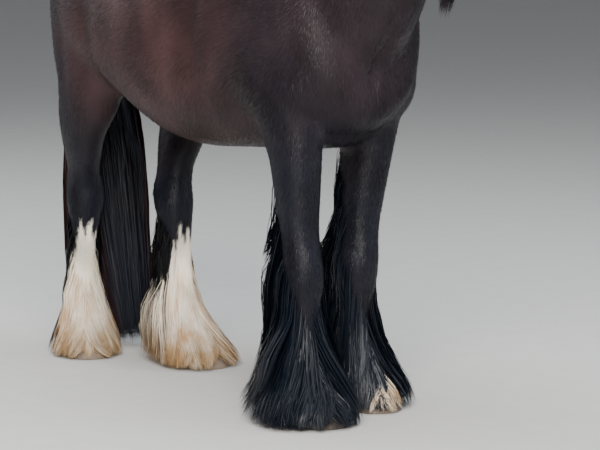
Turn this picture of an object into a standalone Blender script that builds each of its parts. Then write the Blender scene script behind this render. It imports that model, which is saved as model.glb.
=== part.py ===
"""Cob horse, standing, life size: a still model in metres, +Z up, facing -Y, its left side at +X.

The flesh is modelled whole from rings along each limb and from rounded muscles. It is then fused,
smoothed, thinned and parted by flat cuts, and hooves, eyes, ears and locks of hair are set on it.
Forward distances are measured from a line through the forelegs and grow towards the nose.
"""

import math
import random
from typing import NamedTuple

import bmesh
import bpy
from mathutils import Matrix, Vector
from mathutils.bvhtree import BVHTree

# Driving sizes of the body, in metres
GAP = 0.0003
HEAD_LENGTH = 0.58
HEAD_SLOPE = math.radians(68)
POLL = (0.49, 1.685)
NECK_TURN = math.radians(20)
NECK_TURN_FROM = 0.06
NECK_TURN_LENGTH = 0.40
EYE_RADIUS = 0.0225
EYE_PLACE = (0.185, 0.030, 0.070)
EAR_LENGTH = 0.150
HOOF_TOP = 0.068
HOOF_SLOPE = math.radians(14)

# Where the flesh is parted: a height for the legs, and a place and pitch for the neck and head
FORE_TOP_CUT = 0.67
HIND_TOP_CUT = 0.715
KNEE_CUT = 0.445
HOCK_CUT = 0.44
NECK_CUT = (0.05, 1.22, math.radians(-40))
HEAD_CUT = (0.405, 1.55, math.radians(8))

# How finely the flesh is fused and thinned
VOXEL = 0.012
HEAD_VOXEL = 0.006
SMOOTHING = 6
BODY_TRIANGLES = 2400
HEAD_TRIANGLES = 850

# Hair: the first seed, how many arrangements are tried, and what counts as a sliver and as touching
HAIR_SEED = 7
ARRANGEMENTS = 16
SLIVER = 0.00002
TOUCH = 0.000002


def spot(across, forward, height):
    """A point from its distance to the left, forward and up."""
    return Vector((across, -forward, height))


def turned(point):
    """The point after the neck has turned to the right about its base."""
    along = -point.y - NECK_TURN_FROM
    if along <= 0:
        return point.copy()
    radius = NECK_TURN_LENGTH / NECK_TURN
    bent = min(along, NECK_TURN_LENGTH)
    rest = along - bent
    angle = bent / radius
    across = -radius + (radius + point.x) * math.cos(angle) - rest * math.sin(angle)
    forward = NECK_TURN_FROM + (radius + point.x) * math.sin(angle) + rest * math.cos(angle)
    return spot(across, forward, point.z)


def turn_at(forward):
    """How far the neck has turned at a distance forward, as a rotation."""
    along = min(max(forward - NECK_TURN_FROM, 0.0), NECK_TURN_LENGTH)
    return Matrix.Rotation(-NECK_TURN * along / NECK_TURN_LENGTH, 4, "Z")


def with_turn(target):
    """Target with each point moved as the neck turns."""
    for vertex in target.data.vertices:
        vertex.co = turned(vertex.co)
    return target


def on_head(along, dorsal, across=0.0):
    """A point of the head: along from the poll to the lips, dorsal towards the front of the face."""
    forward = POLL[0] + along * math.cos(HEAD_SLOPE) + dorsal * math.sin(HEAD_SLOPE)
    height = POLL[1] - along * math.sin(HEAD_SLOPE) + dorsal * math.cos(HEAD_SLOPE)
    return spot(across, forward, height)


class Ring(NamedTuple):
    """One cross-section: its centre, half its width, and its reach above and below the centre."""

    across: float
    forward: float
    height: float
    half_width: float
    above: float
    below: float
    power: float = 2.2


def head_ring(along, half_width, above, below, power=2.2, dorsal=0.0):
    """A ring of the head at a distance along it."""
    centre = on_head(along, dorsal)
    return Ring(0.0, -centre.y, centre.z, half_width, above, below, power)


def catmull(a, b, c, d, t):
    """The value between b and c on a smooth curve through four values."""
    return b + 0.5 * t * (c - a + t * (2 * a - 5 * b + 4 * c - d + t * (3 * (b - c) + d - a)))


def between(rings, steps):
    """The rings, with more of them laid smoothly between each two."""
    last = len(rings) - 1
    found = []
    for i in range(last):
        near = [rings[max(i - 1, 0)], rings[i], rings[i + 1], rings[min(i + 2, last)]]
        for step in range(steps):
            values = [catmull(*four, step / steps) for four in zip(*near)]
            found.append(Ring(*values))
    return found + [rings[last]]


def rounded(cosine, power):
    """A superellipse's coordinate for a circle's."""
    return math.copysign(abs(cosine) ** (2 / power), cosine)


def mesh_object(name, points, faces):
    """An object from points and faces, its faces turned outwards."""
    mesh = bpy.data.meshes.new(name)
    mesh.from_pydata(points, [], faces)
    work = bmesh.new()
    work.from_mesh(mesh)
    bmesh.ops.recalc_face_normals(work, faces=work.faces)
    work.to_mesh(mesh)
    work.free()
    made = bpy.data.objects.new(name, mesh)
    bpy.context.scene.collection.objects.link(made)
    return made


def tube(name, rings, sides=24, steps=5, yaw=0.0):
    """A closed tube through the rings, whose left side is turned by yaw at its far end."""
    rings = between(rings, steps)
    centres = [spot(r.across, r.forward, r.height) for r in rings]
    points = []
    for i, ring in enumerate(rings):
        before = centres[max(i - 1, 0)]
        after = centres[min(i + 1, len(rings) - 1)]
        tangent = (after - before).normalized()
        side = Vector((1, 0, 0))
        side.rotate(Matrix.Rotation(yaw * i / (len(rings) - 1), 3, "Z"))
        up = tangent.cross(side).normalized()
        for j in range(sides):
            angle = 2 * math.pi * j / sides
            reach = ring.above if math.sin(angle) > 0 else ring.below
            out = side * (ring.half_width * rounded(math.cos(angle), 2.1))
            out += up * (reach * rounded(math.sin(angle), ring.power))
            points.append(centres[i] + out)
    faces = [list(range(sides))[::-1], [len(points) - sides + j for j in range(sides)]]
    for i in range(len(rings) - 1):
        for j in range(sides):
            k = (j + 1) % sides
            faces.append([i * sides + j, i * sides + k, (i + 1) * sides + k, (i + 1) * sides + j])
    return mesh_object(name, points, faces)


def muscle(centre, radii, slope=0.0, turn=0.0, segments=20, rows=12):
    """A rounded mass: radii across, forward and up, sloped in the side view, then turned."""
    bpy.ops.mesh.primitive_uv_sphere_add(segments=segments, ring_count=rows, radius=1.0)
    made = bpy.context.object
    place = Matrix.Translation(centre) @ Matrix.Rotation(turn, 4, "Z")
    place = place @ Matrix.Rotation(slope, 4, "X") @ Matrix.Diagonal((*radii, 1.0))
    made.data.transform(place)
    return made


def block(name, low, high):
    """A box between two corners."""
    bpy.ops.mesh.primitive_cube_add(size=1.0)
    made = bpy.context.object
    made.name = name
    size = [b - a for a, b in zip(low, high)]
    middle = [(a + b) / 2 for a, b in zip(low, high)]
    made.data.transform(Matrix.Translation(middle) @ Matrix.Diagonal((*size, 1.0)))
    return made


def evaluated(source, name):
    """A new object with the plain mesh that source's modifiers give. Source is removed."""
    graph = bpy.context.evaluated_depsgraph_get()
    mesh = bpy.data.meshes.new_from_object(source.evaluated_get(graph))
    made = bpy.data.objects.new(name, mesh)
    bpy.context.scene.collection.objects.link(made)
    bpy.data.objects.remove(source)
    return made


def copy_of(source, name):
    """A copy with its own mesh."""
    made = source.copy()
    made.data = source.data.copy()
    made.name = name
    bpy.context.scene.collection.objects.link(made)
    return made


def joined(pieces, name):
    """The pieces as one object, not yet fused."""
    work = bmesh.new()
    for piece in pieces:
        work.from_mesh(piece.data)
        bpy.data.objects.remove(piece)
    mesh = bpy.data.meshes.new(name)
    work.to_mesh(mesh)
    work.free()
    made = bpy.data.objects.new(name, mesh)
    bpy.context.scene.collection.objects.link(made)
    return made


def fused(pieces, name, voxel, smoothing):
    """The pieces grown together into one smooth skin."""
    whole = joined(pieces, name)
    remesh = whole.modifiers.new("fuse", "REMESH")
    remesh.mode = "VOXEL"
    remesh.voxel_size = voxel
    smooth = whole.modifiers.new("smooth", "SMOOTH")
    smooth.factor = 0.5
    smooth.iterations = smoothing
    return evaluated(whole, name)


def cut(target, others, operation, name, solver="EXACT"):
    """Target with a Boolean against each of the others, which are removed."""
    for other in others:
        boolean = target.modifiers.new(operation.lower(), "BOOLEAN")
        boolean.operation = operation
        boolean.solver = solver
        boolean.object = other
    made = evaluated(target, name)
    for other in others:
        bpy.data.objects.remove(other)
    return made


def thinned(source, triangles, name):
    """Source with about that many triangles."""
    triangulate = source.modifiers.new("triangles", "TRIANGULATE")
    triangulate.min_vertices = 4
    source = evaluated(source, name)
    decimate = source.modifiers.new("thin", "DECIMATE")
    decimate.ratio = min(1.0, triangles / len(source.data.polygons))
    return evaluated(source, name)


def surfaces(work):
    """The closed surfaces of a mesh, each as its list of faces."""
    seen = set()
    found = []
    for start in work.faces:
        if start in seen:
            continue
        surface, waiting = [], [start]
        seen.add(start)
        while waiting:
            face = waiting.pop()
            surface.append(face)
            for edge in face.edges:
                for other in edge.link_faces:
                    if other not in seen:
                        seen.add(other)
                        waiting.append(other)
        found.append(surface)
    return found


def largest_body(source, name):
    """Source with only its largest closed surface."""
    work = bmesh.new()
    work.from_mesh(source.data)
    best = set(max(surfaces(work), key=len))
    bmesh.ops.delete(work, geom=[f for f in work.faces if f not in best], context="FACES")
    work.to_mesh(source.data)
    work.free()
    source.name = name
    return source


def grown(source, distance, name):
    """A copy of source with each point moved out along its normal."""
    made = copy_of(source, name)
    normals = [v.normal.copy() for v in source.data.vertices]
    for vert, normal in zip(made.data.vertices, normals):
        vert.co += normal * distance
    return made


def painted(target, colour, roughness):
    """Gives target its own plain material."""
    material = bpy.data.materials.new(target.name)
    material.use_nodes = True
    shader = material.node_tree.nodes["Principled BSDF"]
    shader.inputs["Base Color"].default_value = (*colour, 1.0)
    shader.inputs["Roughness"].default_value = roughness
    target.data.materials.clear()
    target.data.materials.append(material)
    target.data.shade_smooth()
    return target


# Flesh: torso and neck

TORSO = [
    Ring(0, -1.225, 1.16, 0.060, 0.070, 0.070),
    Ring(0, -1.195, 1.14, 0.174, 0.165, 0.150),
    Ring(0, -1.120, 1.09, 0.254, 0.260, 0.190),
    Ring(0, -1.000, 1.04, 0.294, 0.350, 0.200),
    Ring(0, -0.860, 1.00, 0.308, 0.402, 0.225),
    Ring(0, -0.720, 0.99, 0.320, 0.400, 0.275),
    Ring(0, -0.580, 0.98, 0.330, 0.385, 0.315),
    Ring(0, -0.440, 0.98, 0.320, 0.385, 0.310),
    Ring(0, -0.300, 0.98, 0.295, 0.405, 0.300),
    Ring(0, -0.160, 0.98, 0.260, 0.435, 0.285, 1.8),
    Ring(0, -0.060, 0.98, 0.240, 0.400, 0.285, 1.8),
    Ring(0, 0.030, 0.97, 0.205, 0.270, 0.262),
    Ring(0, 0.090, 0.96, 0.172, 0.215, 0.205),
    Ring(0, 0.130, 0.96, 0.122, 0.160, 0.140),
]

NECK = [
    Ring(0, -0.200, 1.04, 0.150, 0.270, 0.220),
    Ring(0, -0.080, 1.12, 0.170, 0.290, 0.290),
    Ring(0, 0.040, 1.21, 0.158, 0.260, 0.275),
    Ring(0, 0.150, 1.32, 0.136, 0.245, 0.230),
    Ring(0, 0.260, 1.43, 0.108, 0.220, 0.185),
    Ring(0, 0.360, 1.51, 0.087, 0.180, 0.140),
    Ring(0, 0.450, 1.560, 0.075, 0.140, 0.100),
]

HEAD = [
    head_ring(-0.030, 0.035, 0.030, 0.030),
    head_ring(0.000, 0.062, 0.045, 0.080),
    head_ring(0.050, 0.078, 0.058, 0.130),
    head_ring(0.110, 0.090, 0.068, 0.165),
    head_ring(0.180, 0.092, 0.074, 0.182),
    head_ring(0.240, 0.084, 0.074, 0.172),
    head_ring(0.310, 0.066, 0.070, 0.140),
    head_ring(0.380, 0.053, 0.063, 0.106),
    head_ring(0.450, 0.047, 0.058, 0.088),
    head_ring(0.510, 0.049, 0.056, 0.082),
    head_ring(0.550, 0.047, 0.048, 0.070),
    head_ring(0.575, 0.034, 0.030, 0.048),
    head_ring(HEAD_LENGTH, 0.015, 0.012, 0.018),
]
HEAD_TILT = HEAD_SLOPE - math.pi / 2


def torso_muscles():
    """The masses of the shoulder, breast and haunch that stand out from the barrel."""
    made = []
    for side in (-1, 1):
        made += [
            muscle(spot(side * 0.150, -0.08, 1.10), (0.080, 0.13, 0.24), slope=math.radians(-24)),
            muscle(spot(side * 0.120, 0.008, 0.965), (0.078, 0.090, 0.16)),
            muscle(spot(side * 0.175, -0.13, 0.93), (0.070, 0.13, 0.15)),
            muscle(spot(side * 0.145, -0.03, 0.88), (0.075, 0.11, 0.12)),
            muscle(spot(side * 0.065, 0.030, 0.93), (0.085, 0.09, 0.18)),
            muscle(spot(side * 0.120, -1.06, 1.06), (0.115, 0.13, 0.20)),
        ]
    return made


def head_muscles():
    """The masses of the brow, cheek, nostril and lips."""
    made = [
        muscle(on_head(0.562, -0.006), (0.038, 0.032, 0.022), slope=HEAD_TILT),
        muscle(on_head(0.545, -0.060), (0.032, 0.026, 0.028), slope=HEAD_TILT),
    ]
    for side in (-1, 1):
        made += [
            muscle(on_head(0.180, 0.030, side * 0.074), (0.030, 0.034, 0.038), slope=HEAD_TILT),
            muscle(on_head(0.195, -0.090, side * 0.056), (0.036, 0.082, 0.090), slope=HEAD_TILT),
            muscle(on_head(0.285, -0.012, side * 0.056), (0.013, 0.013, 0.065), slope=HEAD_TILT),
            muscle(on_head(0.520, 0.020, side * 0.036), (0.021, 0.028, 0.038), slope=HEAD_TILT),
        ]
    return made


# Flesh: legs

class Stance(NamedTuple):
    """Where one leg's joints are, to the left and forward, its toe's turn and the spread of its feather."""

    name: str
    fore: bool
    upper: tuple
    middle: tuple
    joint: tuple
    fetlock: tuple
    hoof: tuple
    toe_out: float
    spread: float


LEGS = [
    Stance("fore_right", True, (-0.145, -0.060), (-0.135, -0.028), (-0.136, 0.000),
           (-0.130, 0.024), (-0.130, 0.062), math.radians(-10), 1.20),
    Stance("fore_left", True, (0.147, -0.080), (0.122, -0.070), (0.084, -0.064),
           (0.088, -0.062), (0.090, -0.030), math.radians(10), 0.90),
    Stance("hind_right", False, (-0.190, -1.013), (-0.183, -1.083), (-0.126, -1.154),
           (-0.134, -1.170), (-0.140, -1.138), math.radians(-16), 1.0),
    Stance("hind_left", False, (0.145, -0.920), (0.072, -0.936), (0.026, -0.908),
           (0.030, -0.865), (0.045, -0.808), math.radians(14), 1.15),
]

# Height, then half the width and the reach forward and back, down each kind of leg
FORE_SIZES = [
    (0.960, 0.040, 0.050, 0.060),
    (0.900, 0.075, 0.095, 0.110),
    (0.830, 0.080, 0.098, 0.112),
    (0.760, 0.072, 0.086, 0.102),
    (0.690, 0.065, 0.074, 0.090),
    (0.600, 0.058, 0.062, 0.078),
    (0.500, 0.051, 0.052, 0.062),
    (0.440, 0.052, 0.052, 0.052),
    (0.390, 0.056, 0.058, 0.050),
    (0.340, 0.052, 0.054, 0.050),
    (0.300, 0.042, 0.042, 0.050),
    (0.250, 0.037, 0.034, 0.050),
    (0.210, 0.037, 0.034, 0.050),
    (0.165, 0.047, 0.046, 0.060),
    (0.120, 0.042, 0.042, 0.043),
    (0.085, 0.058, 0.060, 0.052),
    (0.040, 0.064, 0.070, 0.058),
    (0.015, 0.064, 0.074, 0.058),
]
HIND_SIZES = [
    (1.240, 0.030, 0.060, 0.060),
    (1.210, 0.085, 0.140, 0.130),
    (1.150, 0.115, 0.190, 0.180),
    (1.090, 0.125, 0.210, 0.205),
    (1.030, 0.122, 0.205, 0.200),
    (0.920, 0.105, 0.175, 0.165),
    (0.820, 0.085, 0.150, 0.125),
    (0.700, 0.064, 0.106, 0.090),
    (0.620, 0.054, 0.082, 0.076),
    (0.560, 0.048, 0.056, 0.070),
    (0.510, 0.052, 0.056, 0.074),
    (0.465, 0.056, 0.058, 0.066),
    (0.420, 0.050, 0.050, 0.058),
    (0.340, 0.041, 0.038, 0.052),
    (0.240, 0.038, 0.035, 0.051),
    (0.180, 0.048, 0.047, 0.061),
    (0.130, 0.043, 0.042, 0.044),
    (0.090, 0.058, 0.060, 0.052),
    (0.040, 0.064, 0.070, 0.058),
    (0.015, 0.064, 0.074, 0.058),
]
# Heights of the places that a stance names, from the upper leg to the hoof
FORE_HEIGHTS = (0.86, 0.69, 0.39, 0.165, 0.05)
HIND_HEIGHTS = (0.82, 0.67, 0.50, 0.180, 0.05)
HIP = (0.140, -0.990, 1.20)


def leg_line(leg, height):
    """The middle of a leg at a height, as a distance to the left and forward."""
    places = [leg.upper, leg.middle, leg.joint, leg.fetlock, leg.hoof]
    heights = list(FORE_HEIGHTS if leg.fore else HIND_HEIGHTS)
    if not leg.fore:
        places.insert(0, (math.copysign(HIP[0], leg.upper[0]), HIP[1]))
        heights.insert(0, HIP[2])
    if height >= heights[0]:
        return places[0]
    for i in range(len(heights) - 1):
        if height >= heights[i + 1]:
            share = (heights[i] - height) / (heights[i] - heights[i + 1])
            near, far = places[i], places[i + 1]
            return tuple(a + (b - a) * share for a, b in zip(near, far))
    return places[-1]


def leg_flesh(leg):
    """The tube of one leg, with the back of the knee, or the point of the hock and the stifle."""
    sizes = FORE_SIZES if leg.fore else HIND_SIZES
    rings = []
    for height, half_width, front, back in sizes:
        across, forward = leg_line(leg, height)
        rings.append(Ring(across, forward, height, half_width, front, back))
    made = [tube(leg.name, rings, sides=20, yaw=leg.toe_out)]
    if leg.fore:
        across, forward = leg_line(leg, 0.41)
        made.append(muscle(spot(across, forward - 0.042, 0.41), (0.024, 0.022, 0.030)))
    else:
        across, forward = leg_line(leg, 0.545)
        made.append(muscle(spot(across, forward - 0.050, 0.545), (0.021, 0.030, 0.045)))
        across, forward = leg_line(leg, 0.88)
        made.append(muscle(spot(across, forward + 0.11, 0.88), (0.070, 0.080, 0.110)))
    return made


def eased(source, height, band, passes):
    """Round a body further above a height, more and more over the band above it."""
    group = source.vertex_groups.new(name="above")
    for vertex in source.data.vertices:
        group.add([vertex.index], min(max((vertex.co.z - height) / band, 0.0), 1.0), "REPLACE")
    ease = source.modifiers.new("Ease", "SMOOTH")
    ease.vertex_group = group.name
    ease.factor = 0.5
    ease.iterations = passes
    return evaluated(source, "eased")


def body_flesh():
    """Torso, neck, head and legs grown together, with the head at the body's coarse grain."""
    pieces = [tube("torso", TORSO, sides=32), tube("neck", NECK), tube("head", HEAD)]
    pieces += torso_muscles() + head_muscles()
    for leg in LEGS:
        pieces += leg_flesh(leg)
    return eased(fused(pieces, "flesh", VOXEL, SMOOTHING), 0.72, 0.20, 40)


def head_flesh():
    """The head and the top of the neck at their own finer grain."""
    pieces = [tube("neck", NECK), tube("head", HEAD, sides=32)] + head_muscles()
    return fused(pieces, "head_flesh", HEAD_VOXEL, SMOOTHING)


# Parting

def cut_frame(forward, height, pitch):
    """The place of a cut through the neck, turned with it and pitched in the side view."""
    place = Matrix.Translation(turned(spot(0, forward, height))) @ turn_at(forward)
    return place @ Matrix.Rotation(pitch, 4, "X")


def slab(name, frame, width, reach):
    """A sheet one gap thick, set across the body."""
    bpy.ops.mesh.primitive_cube_add(size=1.0)
    made = bpy.context.object
    made.name = name
    made.data.transform(frame @ Matrix.Diagonal((width, GAP, reach, 1.0)))
    return made


def leg_slab(leg, height):
    """A level sheet one gap thick through one leg."""
    across, forward = leg_line(leg, height)
    reach = 0.10 if leg.fore else 0.165
    low = spot(across - 0.1, forward + reach, height - GAP / 2)
    high = spot(across + 0.1, forward - reach, height + GAP / 2)
    return block(leg.name, low, high)


def hoof_frame(leg):
    """The middle of the top of a hoof, turned with its toe and sloped like the coronet."""
    across, forward = leg_line(leg, HOOF_TOP)
    place = Matrix.Translation(spot(across, forward, HOOF_TOP))
    return place @ Matrix.Rotation(leg.toe_out, 4, "Z") @ Matrix.Rotation(-HOOF_SLOPE, 4, "X")


def without_foot(lower, leg):
    """The lower leg without what is below the top of its hoof."""
    bpy.ops.mesh.primitive_cube_add(size=1.0)
    below = bpy.context.object
    below.data.transform(hoof_frame(leg) @ Matrix.Translation((0, 0, -0.1 + GAP / 2))
                         @ Matrix.Diagonal((0.3, 0.3, 0.2, 1.0)))
    return cut(lower, [below], "DIFFERENCE", lower.name)


def bodies_of(source):
    """The separate closed surfaces of source, each as its own object. Source is removed."""
    work = bmesh.new()
    work.from_mesh(source.data)
    made = []
    for surface in surfaces(work):
        index = {}
        for face in surface:
            for vert in face.verts:
                index.setdefault(vert, len(index))
        points = [vert.co.copy() for vert in index]
        made.append(mesh_object("body", points, [[index[v] for v in face.verts] for face in surface]))
    work.free()
    bpy.data.objects.remove(source)
    return made


def named_bodies(source, seeds):
    """The surface of source that comes nearest each seed, by the seed's name."""
    bodies = bodies_of(source)
    found = {}
    for name, seed in seeds.items():
        nearest = min(bodies, key=lambda b: min((v.co - seed).length for v in b.data.vertices))
        found[name] = nearest
        nearest.name = name
    for body in bodies:
        if body not in found.values():
            bpy.data.objects.remove(body)
    return found


def parted(whole):
    """Torso, neck and the two parts of each leg, parted by thin flat cuts. The whole is removed."""
    flesh = thinned(whole, BODY_TRIANGLES, "flesh")
    cuts = [
        slab("neck_cut", cut_frame(*NECK_CUT), 0.7, 0.8),
        slab("head_cut", cut_frame(*HEAD_CUT), 0.5, 0.6),
    ]
    seeds = {"torso": spot(0, -0.5, 1.35), "neck": turned(spot(0, 0.25, 1.65))}
    for leg in LEGS:
        cuts += [
            leg_slab(leg, FORE_TOP_CUT if leg.fore else HIND_TOP_CUT),
            leg_slab(leg, KNEE_CUT if leg.fore else HOCK_CUT),
        ]
        seeds[leg.name + "_upper"] = spot(*leg_line(leg, 0.58), 0.58)
        seeds[leg.name + "_lower"] = spot(*leg_line(leg, 0.25), 0.25)
    return named_bodies(cut(flesh, cuts, "DIFFERENCE", "flesh"), seeds)


# Head

def eye_centre(side):
    """The middle of an eye."""
    along, dorsal, across = EYE_PLACE
    return on_head(along, dorsal, side * across)


def ball(centre, radius, segments, rings):
    """A sphere."""
    bpy.ops.mesh.primitive_uv_sphere_add(segments=segments, ring_count=rings, radius=radius)
    made = bpy.context.object
    made.data.transform(Matrix.Translation(centre) @ Matrix.Rotation(math.pi / 2, 4, "Y"))
    return made


def bare_head(flesh):
    """The head in front of its cut, with lids round open sockets, nostrils and the line of the mouth."""
    behind = block("behind", (-0.5, 0, -0.9), (0.5, 0.9, 0.5))
    behind.data.transform(cut_frame(*HEAD_CUT) @ Matrix.Translation((0, -GAP / 2, 0)))
    head = cut(with_turn(flesh), [behind], "DIFFERENCE", "head", "MANIFOLD")
    head = thinned(head, HEAD_TRIANGLES, "head")
    lids, hollows = [], []
    for side in (-1, 1):
        centre = eye_centre(side)
        lids.append(ball(centre, EYE_RADIUS + 0.0045, 16, 10))
        hollows.append(ball(centre, EYE_RADIUS + GAP, 16, 10))
        opening = centre + Vector((side * 0.026, 0, 0))
        hollows.append(muscle(opening, (0.020, 0.0115, 0.0175), HEAD_TILT + 0.25, 0.0, 14, 8))
        nostril = on_head(0.540, 0.020, side * 0.046)
        hollows.append(muscle(nostril, (0.016, 0.0095, 0.017), HEAD_TILT + 0.5, side * 0.4, 10, 6))
    mouth = block("mouth", (-0.09, -0.0016, -0.09), (0.09, 0.0016, 0.09))
    mouth.data.transform(Matrix.Translation(on_head(0.575, -0.034)) @ Matrix.Rotation(HEAD_TILT, 4, "X"))
    head = cut(head, [with_turn(one) for one in lids], "UNION", "head")
    return cut(head, [with_turn(one) for one in hollows + [mouth]], "DIFFERENCE", "head")


def ear(side):
    """One ear: a cup with a rolled edge, open to the front and side."""
    base = on_head(0.030, 0.012, side * 0.050)
    axis = Vector((side * 0.26, 0.02, 0.96)).normalized()
    facing = Vector((side * 0.55, -0.84, 0.0))
    facing = (facing - axis * facing.dot(axis)).normalized()
    wide = axis.cross(facing).normalized()
    shape = [(0.00, 0.020), (0.16, 0.029), (0.34, 0.036), (0.54, 0.035), (0.72, 0.027), (0.88, 0.014), (1.0, 0.003)]
    arc = [math.radians(a) for a in (-140, -85, -30, 30, 85, 140)]
    points = []
    for share, reach in shape:
        lean = facing * (0.020 * share * share - 0.010 * math.sin(math.pi * share))
        centre = base + axis * (EAR_LENGTH * share) + lean
        wall = min(0.0045, reach * 0.45)
        outer = [centre - facing * (math.cos(a) * reach * 0.85) + wide * (math.sin(a) * reach) for a in arc]
        reach -= wall
        inner = [centre - facing * (math.cos(a) * reach * 0.85) + wide * (math.sin(a) * reach) for a in arc]
        points += outer + inner[::-1]
    size = 2 * len(arc)
    faces = [list(range(size))[::-1], [len(points) - size + j for j in range(size)]]
    for i in range(len(shape) - 1):
        for j in range(size):
            k = (j + 1) % size
            faces.append([i * size + j, i * size + k, (i + 1) * size + k, (i + 1) * size + j])
    return mesh_object("ear", points, faces)


# Hooves

def blend(low, high, share):
    """The value a share of the way from low to high."""
    return low + (high - low) * share


def hoof_outline(share):
    """Half the width, half the length and the forward shift of a hoof, from its top at 0 to the floor at 1."""
    return blend(0.055, 0.070, share), blend(0.056, 0.078, share), blend(0.000, 0.034, share)


def hoof(leg):
    """One hoof: a sloped wall from the coronet down to a flat sole."""
    across, forward = leg_line(leg, HOOF_TOP)
    turn = Matrix.Rotation(leg.toe_out, 3, "Z")
    sides = 20
    points = []
    for share, inset in ((0.0, 0.003), (0.04, 0.0), (0.5, 0.0), (0.95, 0.0), (1.0, 0.004)):
        half_width, half_length, shift = hoof_outline(share)
        for j in range(sides):
            angle = 2 * math.pi * j / sides
            x = (half_width - inset) * math.sin(angle)
            length = half_length if math.cos(angle) > 0 else half_length * 0.92
            y = shift + (length - inset) * math.cos(angle)
            top = HOOF_TOP - GAP / 2 + y * math.tan(HOOF_SLOPE)
            point = turn @ Vector((x, -y, 0))
            points.append(Vector((across + point.x, -forward + point.y, top * (1 - share))))
    faces = [list(range(sides)), [len(points) - sides + j for j in range(sides)]]
    for i in range(4):
        for j in range(sides):
            k = (j + 1) % sides
            faces.append([i * sides + j, i * sides + k, (i + 1) * sides + k, (i + 1) * sides + j])
    return mesh_object(leg.name + "_hoof", points, faces)


# Hair

def lock(path, outward, width, thickness, blunt=2.6):
    """A flat tapered lock along a path, with a low ridge on its outer side and a pointed tip."""
    last = len(path) - 1
    points = []
    for i in range(last):
        tangent = (path[min(i + 1, last)] - path[max(i - 1, 0)]).normalized()
        out = (outward[i] - tangent * outward[i].dot(tangent)).normalized()
        side = tangent.cross(out)
        share = i / last
        half = width / 2 * min(1.0, 0.6 + 1.6 * share) * (1 - share ** blunt)
        points += [path[i] - side * half, path[i] + side * half, path[i] + out * thickness * (1 - 0.5 * share)]
    points.append(path[last])
    faces = [[0, 1, 2]]
    for i in range(last - 1):
        for j in range(3):
            k = (j + 1) % 3
            faces.append([i * 3 + j, i * 3 + k, i * 3 + 3 + k, i * 3 + 3 + j])
    tip = len(points) - 1
    for j in range(3):
        faces.append([tip - 3 + j, tip - 3 + (j + 1) % 3, tip])
    return mesh_object("lock", points, faces)


def united(node, locks, name):
    """The node with its locks grown into it as one closed body, without slivers. The locks are removed."""
    collection = bpy.data.collections.new("locks")
    bpy.context.scene.collection.children.link(collection)
    for one in locks:
        bpy.context.scene.collection.objects.unlink(one)
        collection.objects.link(one)
    union = node.modifiers.new("locks", "BOOLEAN")
    union.operation = "UNION"
    union.solver = "MANIFOLD"
    union.operand_type = "COLLECTION"
    union.collection = collection
    made = evaluated(node, name)
    for one in locks:
        bpy.data.objects.remove(one)
    bpy.data.collections.remove(collection)
    work = bmesh.new()
    work.from_mesh(made.data)
    bmesh.ops.triangulate(work, faces=work.faces)
    bmesh.ops.dissolve_degenerate(work, edges=work.edges, dist=SLIVER)
    work.to_mesh(made.data)
    work.free()
    return largest_body(made, name)


def sound(source):
    """Whether each edge still has two faces once points that nearly touch are made one."""
    work = bmesh.new()
    work.from_mesh(source.data)
    bmesh.ops.triangulate(work, faces=work.faces)
    bmesh.ops.remove_doubles(work, verts=work.verts, dist=TOUCH)
    closed = all(len(edge.link_faces) == 2 for edge in work.edges) and len(surfaces(work)) == 1
    work.free()
    return closed


def with_locks(node, make_locks, name):
    """The node with the first arrangement of its locks that grows into it soundly. Node is removed."""
    for attempt in range(ARRANGEMENTS):
        locks = make_locks(random.Random(HAIR_SEED + attempt))
        made = united(copy_of(node, name), locks, name)
        if sound(made) or attempt == ARRANGEMENTS - 1:
            break
        bpy.data.objects.remove(made)
    bpy.data.objects.remove(node)
    made.name = name
    return made


def leg_reach(leg, height, angle):
    """How far the skin is from the middle of a leg, in a direction measured from its toe."""
    sizes = FORE_SIZES if leg.fore else HIND_SIZES
    for upper, lower in zip(sizes, sizes[1:]):
        if upper[0] >= height > lower[0]:
            share = (upper[0] - height) / (upper[0] - lower[0])
            break
    else:
        upper = lower = sizes[-1]
        share = 0.0
    half_width, front, back = (blend(upper[i], lower[i], share) for i in (1, 2, 3))
    depth = front if math.cos(angle) > 0 else back
    bare = 1 / math.sqrt((math.sin(angle) / half_width) ** 2 + (math.cos(angle) / depth) ** 2)
    if height < 0.10:
        half_width, half_length, shift = hoof_outline(min(1.0, 1 - height / 0.085))
        a = (math.sin(angle) / half_width) ** 2 + (math.cos(angle) / half_length) ** 2
        b = -2 * shift * math.cos(angle) / half_length ** 2
        c = (shift / half_length) ** 2 - 1
        bare = max(bare, (-b + math.sqrt(b * b - 4 * a * c)) / (2 * a))
    return bare


# Height, then how far the feather spreads inward, outward, forward and back of a leg's middle
FORE_FEATHER = [
    (0.52, 0.055, 0.062, 0.060, 0.080),
    (0.46, 0.058, 0.078, 0.062, 0.105),
    (0.38, 0.060, 0.100, 0.062, 0.135),
    (0.28, 0.054, 0.086, 0.052, 0.120),
    (0.19, 0.062, 0.100, 0.060, 0.140),
    (0.10, 0.080, 0.130, 0.088, 0.175),
    (0.00, 0.090, 0.165, 0.125, 0.210),
]
HIND_FEATHER = [
    (0.46, 0.056, 0.056, 0.058, 0.075),
    (0.36, 0.062, 0.047, 0.043, 0.105),
    (0.26, 0.080, 0.048, 0.043, 0.130),
    (0.16, 0.085, 0.058, 0.052, 0.135),
    (0.08, 0.095, 0.080, 0.072, 0.145),
    (0.03, 0.108, 0.105, 0.105, 0.155),
    (0.00, 0.120, 0.120, 0.130, 0.165),
]


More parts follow.
